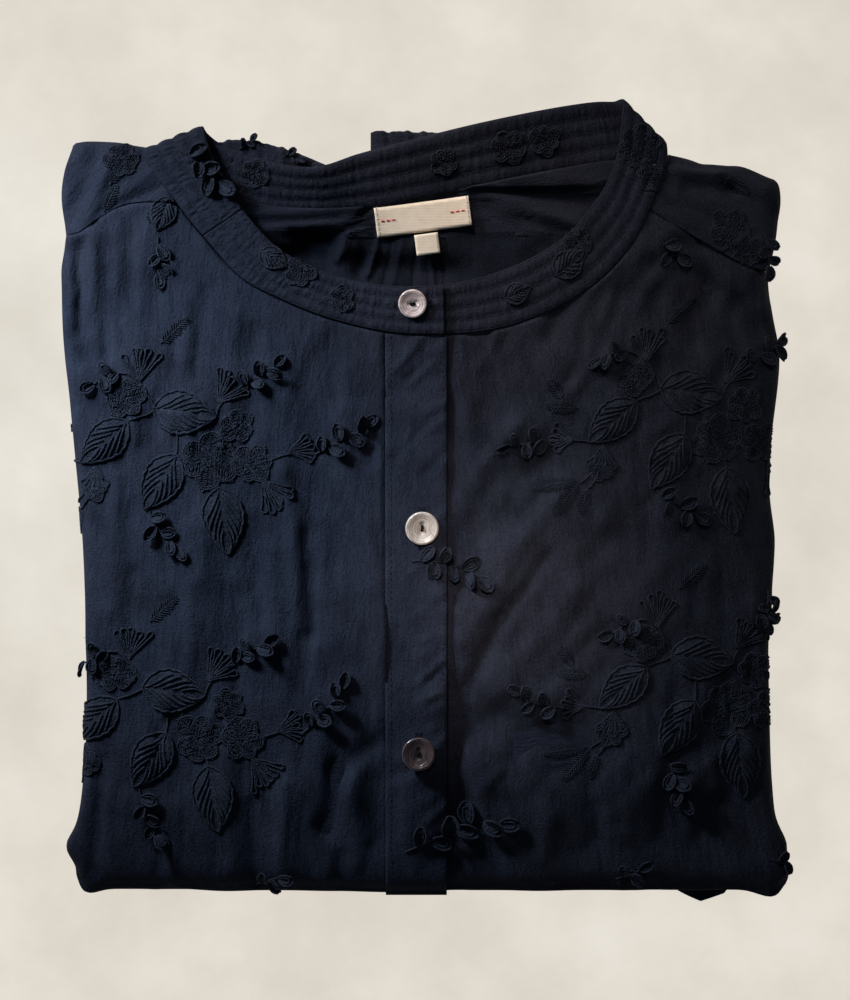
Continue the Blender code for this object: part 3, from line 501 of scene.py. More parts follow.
# Yoke. A double piece of cotton across the shoulders, sewn to the tops of the fronts. Its two ends show,
# each with the soft ridge of the shoulder fold.
YOKE_RIGHT_FOLDS = [
    (-147, 118, -136, 146, 3.4, -1.2),
    (-140, 118, -128, 148, 3.0, 1.0),
    (-126, 128, -108, 142, 3.0, 0.9),
    (-134, 121, -110, 131, 2.2, -0.8),
    (-120, 142, -108, 150, 2.0, -0.8),
]
YOKE_LEFT_FOLDS = [
    (106, 139, 124, 138, 3.0, 1.4),
    (124, 138, 144, 130, 3.0, 1.4),
    (112, 131, 130, 130, 3.4, -1.8),
    (130, 130, 150, 118, 3.4, -1.8),
    (112, 118, 140, 106, 4.0, 1.0),
    (104, 124, 122, 116, 3.0, -1.0),
    (140, 142, 150, 134, 2.4, -1.0),
]
for side, folds, colour, pale, turn, sizes in (
    ("right", YOKE_RIGHT_FOLDS, NAVY, NAVY_PALE, 40, (0.050, 0.056, 0.0019)),
    # the left end takes the left front's colour, painted greyer for the light on that side
    ("left", YOKE_LEFT_FOLDS, NAVY_PAINTED_GREYER, NAVY_PAINTED_GREYER_PALE, -60, (0.060, 0.062, 0.0029)),
):
    finish = cloth_finish("cotton_yoke_" + side, colour, pale, turn=turn)
    yoke = add_piece(f"yoke_{side}_cloth", fine_mesh("yoke_" + side, 3), finish)
    lay_folds(yoke.data, folds)
    tug(yoke.data, TUGS)
    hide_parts("yoke_" + side)

# Inside of the back, seen through the neck: the yoke's smooth inner cloth, and the back gathered on to it.
# Both are the same cotton with painted shade: the yoke's colour is painted a little darker than the
# fronts', the back's about half as bright. One deep fold crosses them beside the placket.
# Colours for the inside, painted darker than the cloth: painted shade, deepest on the back.
INSIDE_SHADED_NAVY = (0.0104, 0.0116, 0.0184, 1)
INSIDE_SHADED_PALE = (0.0212, 0.0234, 0.0350, 1)
SHADE_NAVY = (0.0056, 0.0066, 0.0112, 1)
SHADE_PALE = (0.0112, 0.0130, 0.0206, 1)
INSIDE_FOLDS = [
    (-78, 120.0, -28, 122.5, 2.0, 0.8),
    (-70, 117.0, -36, 118.5, 1.6, -0.6),
    (-66, 114.0, -40, 116.0, 1.6, 0.7),
    (-22, 119.5, -30, 111, 3.0, 3.4),
    (-30, 111, -36, 102, 2.6, 4.2),
    (-17, 112, -23, 95, 1.6, 2.6),
    (-24, 106, -27, 96, 2.6, -1.4),
    (-12, 110, -16, 92, 1.4, -1.0),
    (-8, 110, -12, 92, 1.4, 1.0),
    (-2, 108, -4, 90, 1.4, -1.0),
    (4, 107, 5, 88, 1.3, 1.5),
    (9, 108, 10, 88, 1.6, -1.4),
    (20, 130, 66, 116, 3.2, 3.0),
    (30, 132, 70, 124.5, 2.8, -1.2),
    (33, 120, 56, 102, 3.0, 1.7),
    (44, 120, 62, 110, 4.0, -1.8),
    (24, 114, 40, 98, 5.0, -1.4),
    (40, 138, 76, 133, 3.0, 0.5),
]
BAND_SEAM = [  # the line under the band where the cloth has to lie as it was sewn: x, then y
    (-112, -96, -68, -43, -22, -1, 24, 50, 75),
    (144, 137, 125.5, 124, 125, 128.5, 134, 139, 143.6),
]
LEDGE = [  # the edge of the deep fold, above which the cloth lies higher: x, then y
    (-80, -62, -55, -49, -41, -36, -32, -27, -22, -18),
    (104, 106, 111, 113.4, 114, 113.4, 115, 119.5, 124.5, 131),
]
LEDGE_HEIGHT = 0.0040

yoke_finish = cloth_finish("cotton_inside_yoke", INSIDE_SHADED_NAVY, INSIDE_SHADED_PALE, turn=80, crinkle=0.5)
back_yoke = add_piece("back_yoke_cloth", fine_mesh("back_yoke", 4), yoke_finish)
spots = points_of(back_yoke.data)
below_band = np.clip((np.interp(spots[:, 0], *np.array(BAND_SEAM) * MM) - spots[:, 1]) / 0.0016, 0, 1)
ledge = np.clip((spots[:, 1] - np.interp(spots[:, 0], *np.array(LEDGE) * MM) + 0.0015) / 0.0027, 0, 1)
ledge = ledge**2 * (3 - 2 * ledge)
spots[:, 2] += (folds_lift(spots, INSIDE_FOLDS + NECK_HOLLOWS) + LEDGE_HEIGHT * ledge) * below_band
set_points(back_yoke.data, spots)
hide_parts("back_yoke")


HIGH_UP = 0.1  # above all of the garment


def straight_below(tree, x, y):
    """The place and direction of the surface straight below x and y, or None twice."""
    return tree.ray_cast(Vector((x, y, HIGH_UP)), Vector((0, 0, -1)))[:2]


def tree_of(mesh):
    """For finding a mesh's surface straight below a place."""
    corners = [vert.co for vert in mesh.vertices]
    return BVHTree.FromPolygons(corners, [tuple(face.vertices) for face in mesh.polygons])


def top_heights(tree, across, along, near):
    """The surface's height at each x and y; where it has none, the nearest y that has one gives it."""
    rows = []
    for y in along:
        row = []
        for x in across:
            for step in range(12):
                spot = straight_below(tree, x, y + near * step)[0]
                if spot:
                    break
            row.append(spot.z if spot else np.nan)
        rows.append(row)
    return np.array(rows)


# The back's colour is painted about half as bright as the cloth's: painted shade.
inside_finish = cloth_finish("cotton_inside", SHADE_NAVY, SHADE_PALE, crinkle=0.6)
back = add_piece("back_cloth", fine_mesh("back", 3), inside_finish)
spots = points_of(back.data)
spots[:, 2] += folds_lift(spots, INSIDE_FOLDS + NECK_HOLLOWS)
set_points(back.data, spots)
BACK_X = np.arange(-78, 67, 1.5) * MM
BACK_Y = np.arange(82, 109.3, 3) * MM
SEAM_Y = np.array([110.4, 112, 113.5]) * MM
SEAM_LAP = 4.6 * MM
PRESS_REACH = 0.007
gathered = top_heights(tree_of(back.data), BACK_X, BACK_Y, MM)
gathered = np.where(np.isnan(gathered), np.nanmean(gathered), gathered)
reach = np.exp(-(((BACK_X[:, None] - BACK_X) / PRESS_REACH) ** 2))
eased = gathered @ reach / reach.sum(axis=0)  # to the right of the label the gathers are pressed out
pressed = (eased - gathered) * (0.4 + 0.6 * smoothstep(0.008, 0.018, BACK_X))


def cell_of(marks, values):
    """Which two marks each value lies between, and its share of the way from one to the other."""
    at = np.clip(np.searchsorted(marks, values) - 1, 0, len(marks) - 2)
    return at, np.clip((values - marks[at]) / (marks[at + 1] - marks[at]), 0, 1)


column, share_across = cell_of(BACK_X, spots[:, 0])
row, share_up = cell_of(BACK_Y, spots[:, 1])


def between(heights):
    """A table of heights over BACK_Y and BACK_X, read at each of the back's points."""
    lower, upper = (
        heights[line, column] * (1 - share_across) + heights[line, column + 1] * share_across
        for line in (row, row + 1)
    )
    return lower * (1 - share_up) + upper * share_up


top_here = between(gathered + pressed)
spots[:, 2] += between(pressed)
# Its top edge is drawn up over the yoke's and lies close on it, so that the two read as one cloth.
at_edge = smoothstep(0.1035, 0.1092, spots[:, 1])
spots[:, 1] += SEAM_LAP * at_edge
yoke_top = top_heights(tree_of(back_yoke.data), BACK_X, SEAM_Y, 0.2 * MM)
yoke_top = np.where(np.isnan(yoke_top), np.nanmean(yoke_top), yoke_top)
share = np.clip((spots[:, 1] - SEAM_Y[0]) / (SEAM_Y[-1] - SEAM_Y[0]), 0, 1)
low_top, high_top = (np.interp(spots[:, 0], BACK_X, yoke_top[k]) for k in (0, -1))
to_yoke = low_top + (high_top - low_top) * share + 0.00015 - top_here
spots[:, 2] += to_yoke * smoothstep(0.1020, 0.1100, spots[:, 1])
set_points(back.data, spots)
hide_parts("back")

# Neck band. A double strip of the same cotton, sewn to the neck edge, with four stitched channels all
# round: the cloth swells between the rows of stitching and puckers along them, and its edges are piped.
NECK = [  # ribs round the neck from the right front join: the seam, then the free edge, in mm
    ((-92.0, 110.5, 22.8), (-75.2, 121.8, 23.6)),
    ((-76.4, 93.2, 23.3), (-62.0, 107.0, 24.0)),
    ((-59.6, 84.0, 23.7), (-48.0, 98.5, 24.3)),
    ((-38.6, 75.6, 24.0), (-31.0, 92.5, 24.5)),
    ((-13.4, 69.7, 24.2), (-11.0, 89.3, 24.6)),
    ((10.5, 68.9, 24.2), (10.0, 90.2, 24.6)),
    ((32.8, 71.4, 24.1), (29.0, 94.5, 24.6)),
    ((53.8, 79.0, 23.8), (46.0, 101.5, 24.4)),
    ((72.7, 90.3, 23.4), (61.0, 111.5, 24.1)),
    ((87.4, 105.8, 23.0), (73.5, 126.5, 23.7)),
    ((96.6, 123.9, 22.7), (78.5, 135.5, 23.3)),
    ((100.8, 139.4, 22.5), (81.9, 146.0, 22.9)),
    ((101.2, 146.5, 21.8), (83.8, 161.0, 21.9)),
    ((100.6, 151.0, 19.2), (84.2, 168.0, 19.4)),
    ((96.5, 147.0, 16.8), (80.0, 167.6, 17.6)),
    ((74.8, 143.6, 16.6), (70.0, 166.8, 20.8)),
    ((49.6, 139.4, 16.4), (49.0, 163.0, 23.6)),
    ((24.4, 134.0, 16.2), (22.0, 157.2, 24.6)),
    ((-0.8, 128.5, 16.0), (-5.0, 150.5, 24.6)),
    ((-21.8, 125.0, 15.8), (-26.0, 145.0, 24.0)),
    ((-43.3, 124.0, 15.6), (-45.0, 139.5, 23.2)),
    ((-68.5, 125.5, 15.6), (-66.0, 142.5, 20.4)),
    ((-96.0, 137.0, 16.0), (-83.0, 149.0, 18.0)),
    ((-112.5, 144.0, 16.8), (-90.0, 154.0, 17.4)),
    ((-115.6, 147.0, 19.2), (-91.8, 156.6, 19.4)),
    ((-113.8, 143.0, 21.7), (-90.5, 152.0, 22.0)),
    ((-108.5, 133.0, 22.4), (-86.8, 142.0, 23.0)),
    ((-101.0, 121.5, 22.6), (-81.5, 132.0, 23.4)),
]
CENTRE_RIB = 4.95
LEFT_BAND_RIB = 4.30
JOIN_RIB = 11
RIB_GAP = 0.012
BAND_CHANNELS = 4
BAND_THIN = 0.55 * MM
BAND_THICK = 1.20 * MM
BAND_LIFT = 2.6 * MM
SEAM_GAP = 0.36 * MM
BAND_LAP = 2.6 * MM  # how far the band lies over the yoke behind the neck and at the shoulders
LAP_LIFT = 0.9 * MM
PUCKERS_PER_METRE = 300
PUCKER_SQUEEZE = (1, 0.42, 1)


def curve_point(before, start, end, after, share):
    """A point between start and end on the smooth curve through four points in a row."""
    leave = (end - before) / 2
    arrive = (after - start) / 2
    return (
        start * (2 * share**3 - 3 * share**2 + 1)
        + leave * (share**3 - 2 * share**2 + share)
        + end * (3 * share**2 - 2 * share**3)
        + arrive * (share**3 - share**2)
    )


def neck_rib(at):
    """The band's seam and free edge at a rib, or between two."""
    i = math.floor(at)
    return tuple(
        curve_point(*[Vector(NECK[(i + n) % len(NECK)][side]) * MM for n in (-1, 0, 1, 2)], at - i)
        for side in (0, 1)
    )


def band_place(at, across, lift=0.0):
    """A place on the band's middle surface and its outward direction there."""
    seam, free = neck_rib(at)
    before, after = neck_rib(at - 0.02), neck_rib(at + 0.02)
    way = (free - seam).normalized()
    lap = smoothstep(9.85, 11.6, at) * smoothstep(26.7, 25.2, at)
    seam += way * (SEAM_GAP - BAND_LAP * lap)
    lift += LAP_LIFT * smoothstep(13.2, 14.2, at) * smoothstep(24, 23, at) * (1 - across)
    run = (after[0] - before[0]).lerp(after[1] - before[1], across)
    return seam.lerp(free, across) + Vector((0, 0, lift)), run.cross(way).normalized()


def band_lift(at, rising):
    return BAND_LIFT * smoothstep(*rising, at) if rising else 0.0


def mesh_of(bm, name):
    """A smooth mesh of what bm holds, its faces turned outward."""
    bmesh.ops.recalc_face_normals(bm, faces=bm.faces)
    mesh = bpy.data.meshes.new(name)
    bm.to_mesh(mesh)
    bm.free()
    mesh.shade_smooth()
    return mesh


def band_mesh(name, start, end, rising, step=0.032, rows_in_channel=5):
    """A stretch of the band as closed cloth, with a map of it laid out flat for the puckers."""
    stations = round((end - start) / step)
    rows = BAND_CHANNELS * rows_in_channel
    rng = random.Random(name)
    wander = [rng.uniform(0, math.tau) for _ in range(6)]
    bm = bmesh.new()
    uv = bm.loops.layers.uv.new("along_band")
    rings, lengths, length, last = [], [], 0.0, None
    for i in range(stations + 1):
        at = start + (end - start) * i / stations
        lift = band_lift(at, rising)
        middle = band_place(at, 0.5)[0]
        length += (middle - last).length if last else 0.0
        last = middle
        bunched = smoothstep(20.4, 21.4, at) * smoothstep(23.2, 22.4, at)
        upper, lower = [], []
        for j in range(rows + 1):
            across = j / rows
            spot, normal = band_place(at, across, lift)
            channel = math.sin(math.pi * across * BAND_CHANNELS) ** 2
            row = int(across * BAND_CHANNELS - 0.001)
            waves = (math.sin(length / MM * (0.7 + 0.46 * k) + wander[k] * (1 + row)) for k in range(6))
            sway = sum(waves) / 2.4
            fullness = channel**0.42 * (1 + (0.24 + 0.7 * bunched) * sway)
            half = BAND_THIN + (BAND_THICK - BAND_THIN) * fullness
            spot = spot + normal * 0.45 * MM * bunched * sway
            if j in (0, rows):
                half = BAND_THIN * 0.6
            upper.append(bm.verts.new(spot + normal * half))
            lower.append(bm.verts.new(spot - normal * half))
        rings.append(upper + lower[::-1])
        lengths.append(length)
    around = len(rings[0])
    for i in range(stations):
        for j in range(around):
            k = (j + 1) % around
            face = bm.faces.new((rings[i][j], rings[i + 1][j], rings[i + 1][k], rings[i][k]))
            spans = [min(m, around - 1 - m) / rows for m in (j, j, k, k)]
            for loop, far, span in zip(face.loops, (i, i + 1, i + 1, i), spans):
                loop[uv].uv = (lengths[far], span * 0.022)
    bm.faces.new(rings[0])
    bm.faces.new(rings[-1])
    return mesh_of(bm, name)


def band_finish(name, colour, pale):
    """Cotton with small puckers across the band, along its rows of stitching."""
    made = cloth_finish(name, colour, pale, crinkle=0.35)
    tree = made.node_tree
    shader = tree.nodes["Principled BSDF"]
    place = add_node(tree, "UVMap", uv_map="along_band")["UV"]
    puckers = noise(tree, squeezed(tree, place, PUCKER_SQUEEZE), PUCKERS_PER_METRE, 3, 0.55)
    under = shader.inputs["Normal"].links[0].from_socket
    bump = add_node(tree, "Bump", {"Height": puckers, "Distance": 0.0009, "Normal": under})
    tree.links.new(bump["Normal"], shader.inputs["Normal"])
    return made


# The band's colour is the same cotton's, painted a little darker: painted shade.
BAND_SHADED_NAVY = (0.0110, 0.0121, 0.0192, 1)
BAND_SHADED_PALE = (0.0222, 0.0242, 0.0362, 1)
cotton_band = band_finish("cotton_band", BAND_SHADED_NAVY, BAND_SHADED_PALE)
RISING = (3.0, CENTRE_RIB - 0.35)
BANDS = [  # node, first and last rib, where it rises over the other front, and flat size
    ("neckband_right", RIB_GAP, CENTRE_RIB, RISING, (0.022, 0.110)),
    ("neckband_left", LEFT_BAND_RIB, JOIN_RIB - RIB_GAP, None, (0.022, 0.140)),
    ("neckband_back", JOIN_RIB + RIB_GAP, len(NECK) - RIB_GAP, None, (0.023, 0.290)),
]
band_pieces = []
for name, start, end, rising, sizes in BANDS:
    piece = add_piece(name + "_cloth", band_mesh(name, start, end, rising), cotton_band)
    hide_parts(name)
    band_pieces.append(piece)


class Threadwork:
    """Cords and threads of one thickness, as the splines of one curve object."""

    def __init__(self, name, radius, finish, sides=6):
        self.data = bpy.data.curves.new(name, "CURVE")
        self.data.dimensions = "3D"
        self.data.bevel_depth = 1  # each point's radius then gives the thickness, in metres
        self.data.bevel_resolution = sides // 2 - 2
        self.data.use_fill_caps = True
        self.radius = radius
        self.piece = add_piece(name, self.data, finish)

    def add(self, places, taper=0.0):
        """Lay one thread from place to place, thinner towards its ends by a taper."""
        spline = self.data.splines.new("POLY")
        spline.points.add(len(places) - 1)
        for i, (point, place) in enumerate(zip(spline.points, places)):
            point.co = (*place, 1)
            near_end = abs(2 * i / max(len(places) - 1, 1) - 1)
            point.radius = self.radius * (1 - taper * near_end**2)

    def add_unbroken(self, places, taper=0.0):
        """Lay a thread along each stretch of places between those that are None."""
        stretch = []
        for place in [*places, None]:
            if place is not None:
                stretch.append(place)
                continue
            if len(stretch) > 1:
                self.add(stretch, taper)
            stretch = []

    def lay(self, flat_places, lift=0.3, taper=0.0):
        """Lay a thread on the cloth below flat places in metres; lift is in its own radii."""
        found = [on_cloth(x, y) for x, y in flat_places]
        self.add_unbroken([spot and spot[0] + spot[1] * self.radius * lift for spot in found], taper)


def band_line(stations, across, rising, out):
    """Places along the band at some stations, each so far out from its middle surface."""
    line = []
    for at in stations:
        spot, normal = band_place(at, across, band_lift(at, rising))
        line.append(spot + normal * out)
    return line


PIPING_RADIUS = 0.42 * MM
PIPING_PLACES = (0.03, 0.975)  # across the band: at its seam and at its free edge
piping = Threadwork("band_piping", PIPING_RADIUS, cotton_band, sides=8)
for name, start, end, rising, sizes in BANDS:
    count = round((end - start) / 0.08)
    stations = [start + (end - start) * (0.002 + 0.996 * i / count) for i in range(count + 1)]
    for across in PIPING_PLACES:
        piping.add(band_line(stations, across, rising, PIPING_RADIUS))

# Sleeves and hem. The ends of both sleeves show behind the neck, creased where they are folded, and the
# turned and stitched corner of the hem shows under the bottom fold. Both are the same cotton.
SLEEVE_SIZES = {"sleeve_right": (0.052, 0.034), "sleeve_left": (0.046, 0.040)}
for node, sizes in SLEEVE_SIZES.items():
    sleeve = add_piece(node + "_cloth", fine_mesh(node, 3), layers_finish)
    spots = points_of(sleeve.data)
    along = spots[:, 0] / MM
    lumps = np.sin(along * 0.61) + np.sin(along * 1.07 + 1.3) + 0.6 * np.sin(along * 1.9 + 0.4)
    spots[:, 2] += 0.00020 * lumps
    spots[:, 1] += 0.00022 * lumps * (spots[:, 1] > 0.146)
    set_points(sleeve.data, spots)
    tug(sleeve.data, [(-21, 156, -21, 140, 3, -0.9, 0.0)])
    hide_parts(node)

hem_corner = add_piece("hem_corner_cloth", fine_mesh("hem_corner", 3, math.radians(30)), layers_finish)
tug(hem_corner.data, [(100, -163, 135, -163, 12, 0.0, -3.0)])
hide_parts("hem_corner")

# Embroidery, in cotton thread of the cloth's own colour. One spray of padded leaves, flat flowers, ferns
# and petals that hang loose from their stalks is worked four times over the fronts, and parts of it
# elsewhere. Places in its tables are in mm from the middle of its upper leaf.
THREAD_NAVY = (0.0130, 0.0146, 0.0226, 1)
THREAD_PALE = (0.0310, 0.0342, 0.0488, 1)
STITCHES_PER_METRE = 1150
SHADES_PER_METRE = 240

thread_group, given, result = new_group(
    "embroidery_thread",
    [("Colour", "Color", THREAD_NAVY), ("Pale Colour", "Color", THREAD_PALE)],
    [("Colour", "Color"), ("Height", "Float")],
)
place = add_node(thread_group, "TexCoord")["Object"]
strands = noise(thread_group, place, STITCHES_PER_METRE, 3, 0.65)
shade = noise(thread_group, place, SHADES_PER_METRE, 2)
mixed = add_node(thread_group, "Math", {0: strands, 1: shade}, operation="ADD")["Value"]
share = spread(thread_group, mixed, 0.75, 1.3)
dyed = blend(thread_group, share, given["Colour"], given["Pale Colour"])
thread_group.links.new(dyed, result["Colour"])
thread_group.links.new(strands, result["Height"])


def thread_finish(name, colour, pale):
    """Twisted thread, with the glint of its strands."""
    values = {"Colour": colour, "Pale Colour": pale}
    settings = {"Roughness": 0.80, "Specular IOR Level": 0.10}
    return grouped_finish(name, thread_group, values, settings, 0.0011)


thread = thread_finish("navy_thread", THREAD_NAVY, THREAD_PALE)

LEAVES = [  # x, y, heading, length, width
    (0.0, 0.0, -8, 26.5, 17.0),
    (-9.9, -28.9, -122, 26.5, 15.5),
    (16.5, -45.3, -82, 28.0, 16.0),
    (-33.5, -12.2, -139, 26.0, 14.5),
]
FANS = [  # x and y of the root, heading, length, count
    (-19.0, 13.5, 84, 12.5, 5),
    (14.5, 4.5, 52, 12.5, 5),
    (44.0, -16.5, 14, 9.0, 5),
    (33.0, -28.5, -52, 12.5, 6),
    (-37.0, -22.5, -95, 8.5, 5),
    (-50.0, -20.0, 172, 8.0, 5),
]
FERNS = [  # x and y of the root, heading, length, half-width
    (-10.0, 29.0, 42, 15.0, 2.4),
    (-54.0, -3.5, 124, 10.0, 2.2),
    (-48.0, -6.5, 178, 12.5, 2.4),
    (-48.3, -37.0, 189, 18.0, 2.6),
    (-47.5, -38.5, 229, 16.0, 2.6),
    (-43.5, -39.5, 254, 11.0, 2.2),
    (-36.0, -26.0, 262, 9.0, 2.4),
]
BUDS = [  # x and y of the stalk's root, heading, bend, count, length of a petal
    (22.5, 10.0, 34, -10, 5, 6.6),
    (54.5, -17.5, 26, 18, 6, 6.8),
    (-14.5, -41.0, -76, 20, 5, 6.8),
    (-24.0, 16.5, 168, 40, 4, 6.2),
    (-58.0, -20.5, 174, -24, 5, 6.6),
]
FLOWERS = [  # x, y, turn, radius
    (10.5, -20.0, 20, 10.5),
    (29.0, -21.0, 60, 8.5),
    (-24.5, 6.5, 10, 7.5),
    (22.5, -5.5, 40, 7.0),
    (-38.0, -31.0, 0, 5.5),
]
STEMS = [  # x and y of each point along the stem
    [(-19.0, 13.5), (-15.5, 7.5), (-13.2, 1.0), (-23.0, -3.2)],
    [(-3.0, -7.5), (-2.6, -12.5), (-3.2, -17.8)],
    [(13.2, -1.8), (14.5, 2.0), (18.0, 6.5), (22.5, 10.0)],
    [(8.5, -19.0), (12.5, -26.0), (14.7, -31.6)],
    [(30.0, -21.5), (38.0, -19.0), (46.0, -17.0), (54.5, -17.5)],
    [(16.0, -16.0), (24.0, -20.0), (33.0, -28.5)],
    [(-17.0, -40.2), (-15.6, -41.0)],
    [(-19.0, 11.0), (-22.0, 15.0), (-24.0, 16.5)],
    [(-43.0, -20.6), (-50.0, -20.0), (-58.0, -20.5)],
    [(-37.0, -22.5), (-40.5, -32.0), (-47.0, -38.0)],
    [(-37.5, -24.0), (-39.5, -34.0), (-43.0, -40.0)],
]
SPRAYS = [(-99.5, 36.5), (-104.0, -80.0), (113.0, 45.0), (117.5, -66.5)]
# Elements on their own, as above but from the middle of the garment: on the placket, the shoulders and
# the band, and those that show over the edges.
LONE_BUDS = [
    (-4.0, -25.5, 8, -26, 7, 7.4),
    (-7.0, -148.0, 26, -40, 7, 10.0),
    (-110.5, 110.0, -88, 4, 4, 7.0),
    (99.0, 110.0, -80, 40, 3, 6.6),
    (143.5, 112.0, -84, 6, 4, 6.0),
    (145.5, -38.0, -82, 4, 4, 5.6),
    (147.5, -151.5, -24, 10, 3, 5.0),
    (-144.0, -58.0, 168, 20, 3, 6.4),
    (-70.0, -162.0, 8, 0, 3, 6.0),
    (82.0, -160.0, 12, 0, 3, 6.0),
    (-101.0, 146.0, -36, -30, 5, 7.6),
    (-77.0, 148.0, 24, 0, 3, 3.4),
    (-58.0, 145.5, -10, 0, 3, 3.4),
    (-48.0, 141.5, -24, 0, 3, 3.4),
]
LONE_LEAVES = [
    (-108.5, 120.0, -112, 15.0, 10.0),
    (40.0, 86.5, 24, 12.0, 8.0),
    (61.5, 99.0, 40, 15.0, 11.0),
    (-62.0, 101.0, -30, 13.0, 8.0),
]
LONE_FLOWERS = [
    (-50.0, 96.0, 30, 6.5),
    (-33.0, 84.0, 30, 5.0),
    (64.5, 107.0, 0, 6.0),
    (91.0, 148.0, 20, 8.0),
    (96.0, 136.0, 50, 6.0),
    (-126.0, 142.0, 10, 6.5),
    (-86.0, 133.0, 40, 5.0),
    (36.0, 148.0, 0, 6.5),
    (52.0, 151.0, 40, 6.0),
    (9.0, 142.0, 40, 5.0),
    (-70.0, 137.0, 20, 6.0),
    (128.0, 113.0, 10, 8.0),
    (136.0, 104.0, 30, 6.0),
    (88.0, -161.0, 10, 5.0),
]
LONE_FERNS = [
    (-131.0, 132.0, 58, 14.0, 2.4),
    (-133.5, 121.0, 62, 12.0, 2.2),
    (-109.0, 123.5, -118, 8.0, 3.4),
    (126.0, 135.0, -30, 12.0, 2.2),
]
worked = random.Random(21)

surfaces = [front_right, front_left, placket, *band_pieces, layers]
surfaces += [
    bpy.data.objects[f"{part}_{side}_cloth"] for part in ("yoke", "sleeve") for side in ("right", "left")
]
corners, faces = [], []
for piece in surfaces:
    base = len(corners)
    corners.extend(vert.co for vert in piece.data.vertices)
    faces.extend([base + i for i in face.vertices] for face in piece.data.polygons)
cloth_tree = BVHTree.FromPolygons(corners, faces)
EDGE_LOW = 0.0105  # what lies lower is round an edge, and thread there lies on the nearest cloth
EDGE_MIDDLE = 0.017


def on_cloth(x, y, reach=0.004):
    """The place and outward direction on the outer cloth at x, y in metres, or None beyond it."""
    spot, normal = straight_below(cloth_tree, x, y)
    if spot is None or spot.z < EDGE_LOW:
        beside = Vector((x, y, EDGE_MIDDLE))
        spot, normal, _, _ = cloth_tree.find_nearest(beside, reach)
        if spot is None:
            return None
        if (beside - spot).dot(normal) < 0:
            normal = -normal
    elif normal.z < 0:
        normal = -normal
    return spot, normal


def heading_vector(degrees):
    return Vector((math.cos(math.radians(degrees)), math.sin(math.radians(degrees))))


def ways(degrees):
    """The flat directions ahead on a heading, and to its left."""
    ahead = heading_vector(degrees)
    return ahead, Vector((-ahead.y, ahead.x))


def smooth_route(points, step):
    """Points a step apart, in the units of points, along the smooth curve through them."""
    points = [Vector(point) for point in points]
    ends = [2 * points[0] - points[1], *points, 2 * points[-1] - points[-2]]
    route = []
    for i in range(len(points) - 1):
        count = max(round((points[i + 1] - points[i]).length / step), 1)
        route += [curve_point(*ends[i : i + 4], k / count) for k in range(count)]
    return [*route, points[-1]]


cords = Threadwork("embroidery_cords", 0.60 * MM, thread)
ribs = Threadwork("leaf_ribs", 0.52 * MM, thread)
stitches = Threadwork("embroidery_stitches", 0.42 * MM, thread)
fillings = Threadwork("embroidery_fillings", 0.37 * MM, thread, sides=4)
rims = Threadwork("petal_rims", 0.42 * MM, thread)

leaf_bm = bmesh.new()
petal_bm = bmesh.new()
LEAF_TAPER = 0.25


def grid_on(bm, places):
    """Faces over a grid of places; any place that is None leaves a gap."""
    verts = [[bm.verts.new(spot) if spot is not None else None for spot in row] for row in places]
    for i in range(len(verts) - 1):
        for j in range(len(verts[0]) - 1):
            corners = (verts[i][j], verts[i + 1][j], verts[i + 1][j + 1], verts[i][j + 1])
            if None not in corners:
                bm.faces.new(corners)


def work_leaf(x, y, heading, length, width, rows=26, columns=12):
    """A padded leaf with raised ribs that fan out from its root and middle to a scalloped edge."""
    ahead, aside = ways(heading)
    root = Vector((x, y)) - ahead * length / 2
    wave = worked.uniform(0, 1)
    along = [i / rows for i in range(rows + 1)]
    across = [2 * j / columns - 1 for j in range(columns + 1)]

    def spot(t, s, rise):
        scallop = 1 + 0.075 * abs(math.sin(math.pi * (7 * t + wave))) * abs(s)
        half = width / 2 * math.sin(math.pi * t**0.80) ** 0.85 * scallop
        found = on_cloth(*((root + ahead * (length * t) + aside * (half * s)) * MM))
        return found and found[0] + found[1] * rise * MM

    def swell(t, s):
        return 0.15 + 0.85 * (1 - s * s) ** 0.5 * math.sin(math.pi * min(max(t, 0.04), 0.96)) ** 0.5

    grid_on(leaf_bm, [[spot(t, s, swell(t, s)) for s in across] for t in along])
    for side in (-1, 1):
        cords.add_unbroken([spot(i / 40, side, 0.55) for i in range(41)], LEAF_TAPER)
        for k in range(5):
            start, end = 0.03 + 0.15 * k, min(0.46 + 0.135 * k, 0.97)
            rib = []
            for i in range(9):
                way = i / 8
                t, s = start + (end - start) * way, side * (0.10 + 0.74 * way**1.15)
                rib.append(spot(t, s, swell(t, s) + 0.30))
            ribs.add_unbroken(rib, LEAF_TAPER)


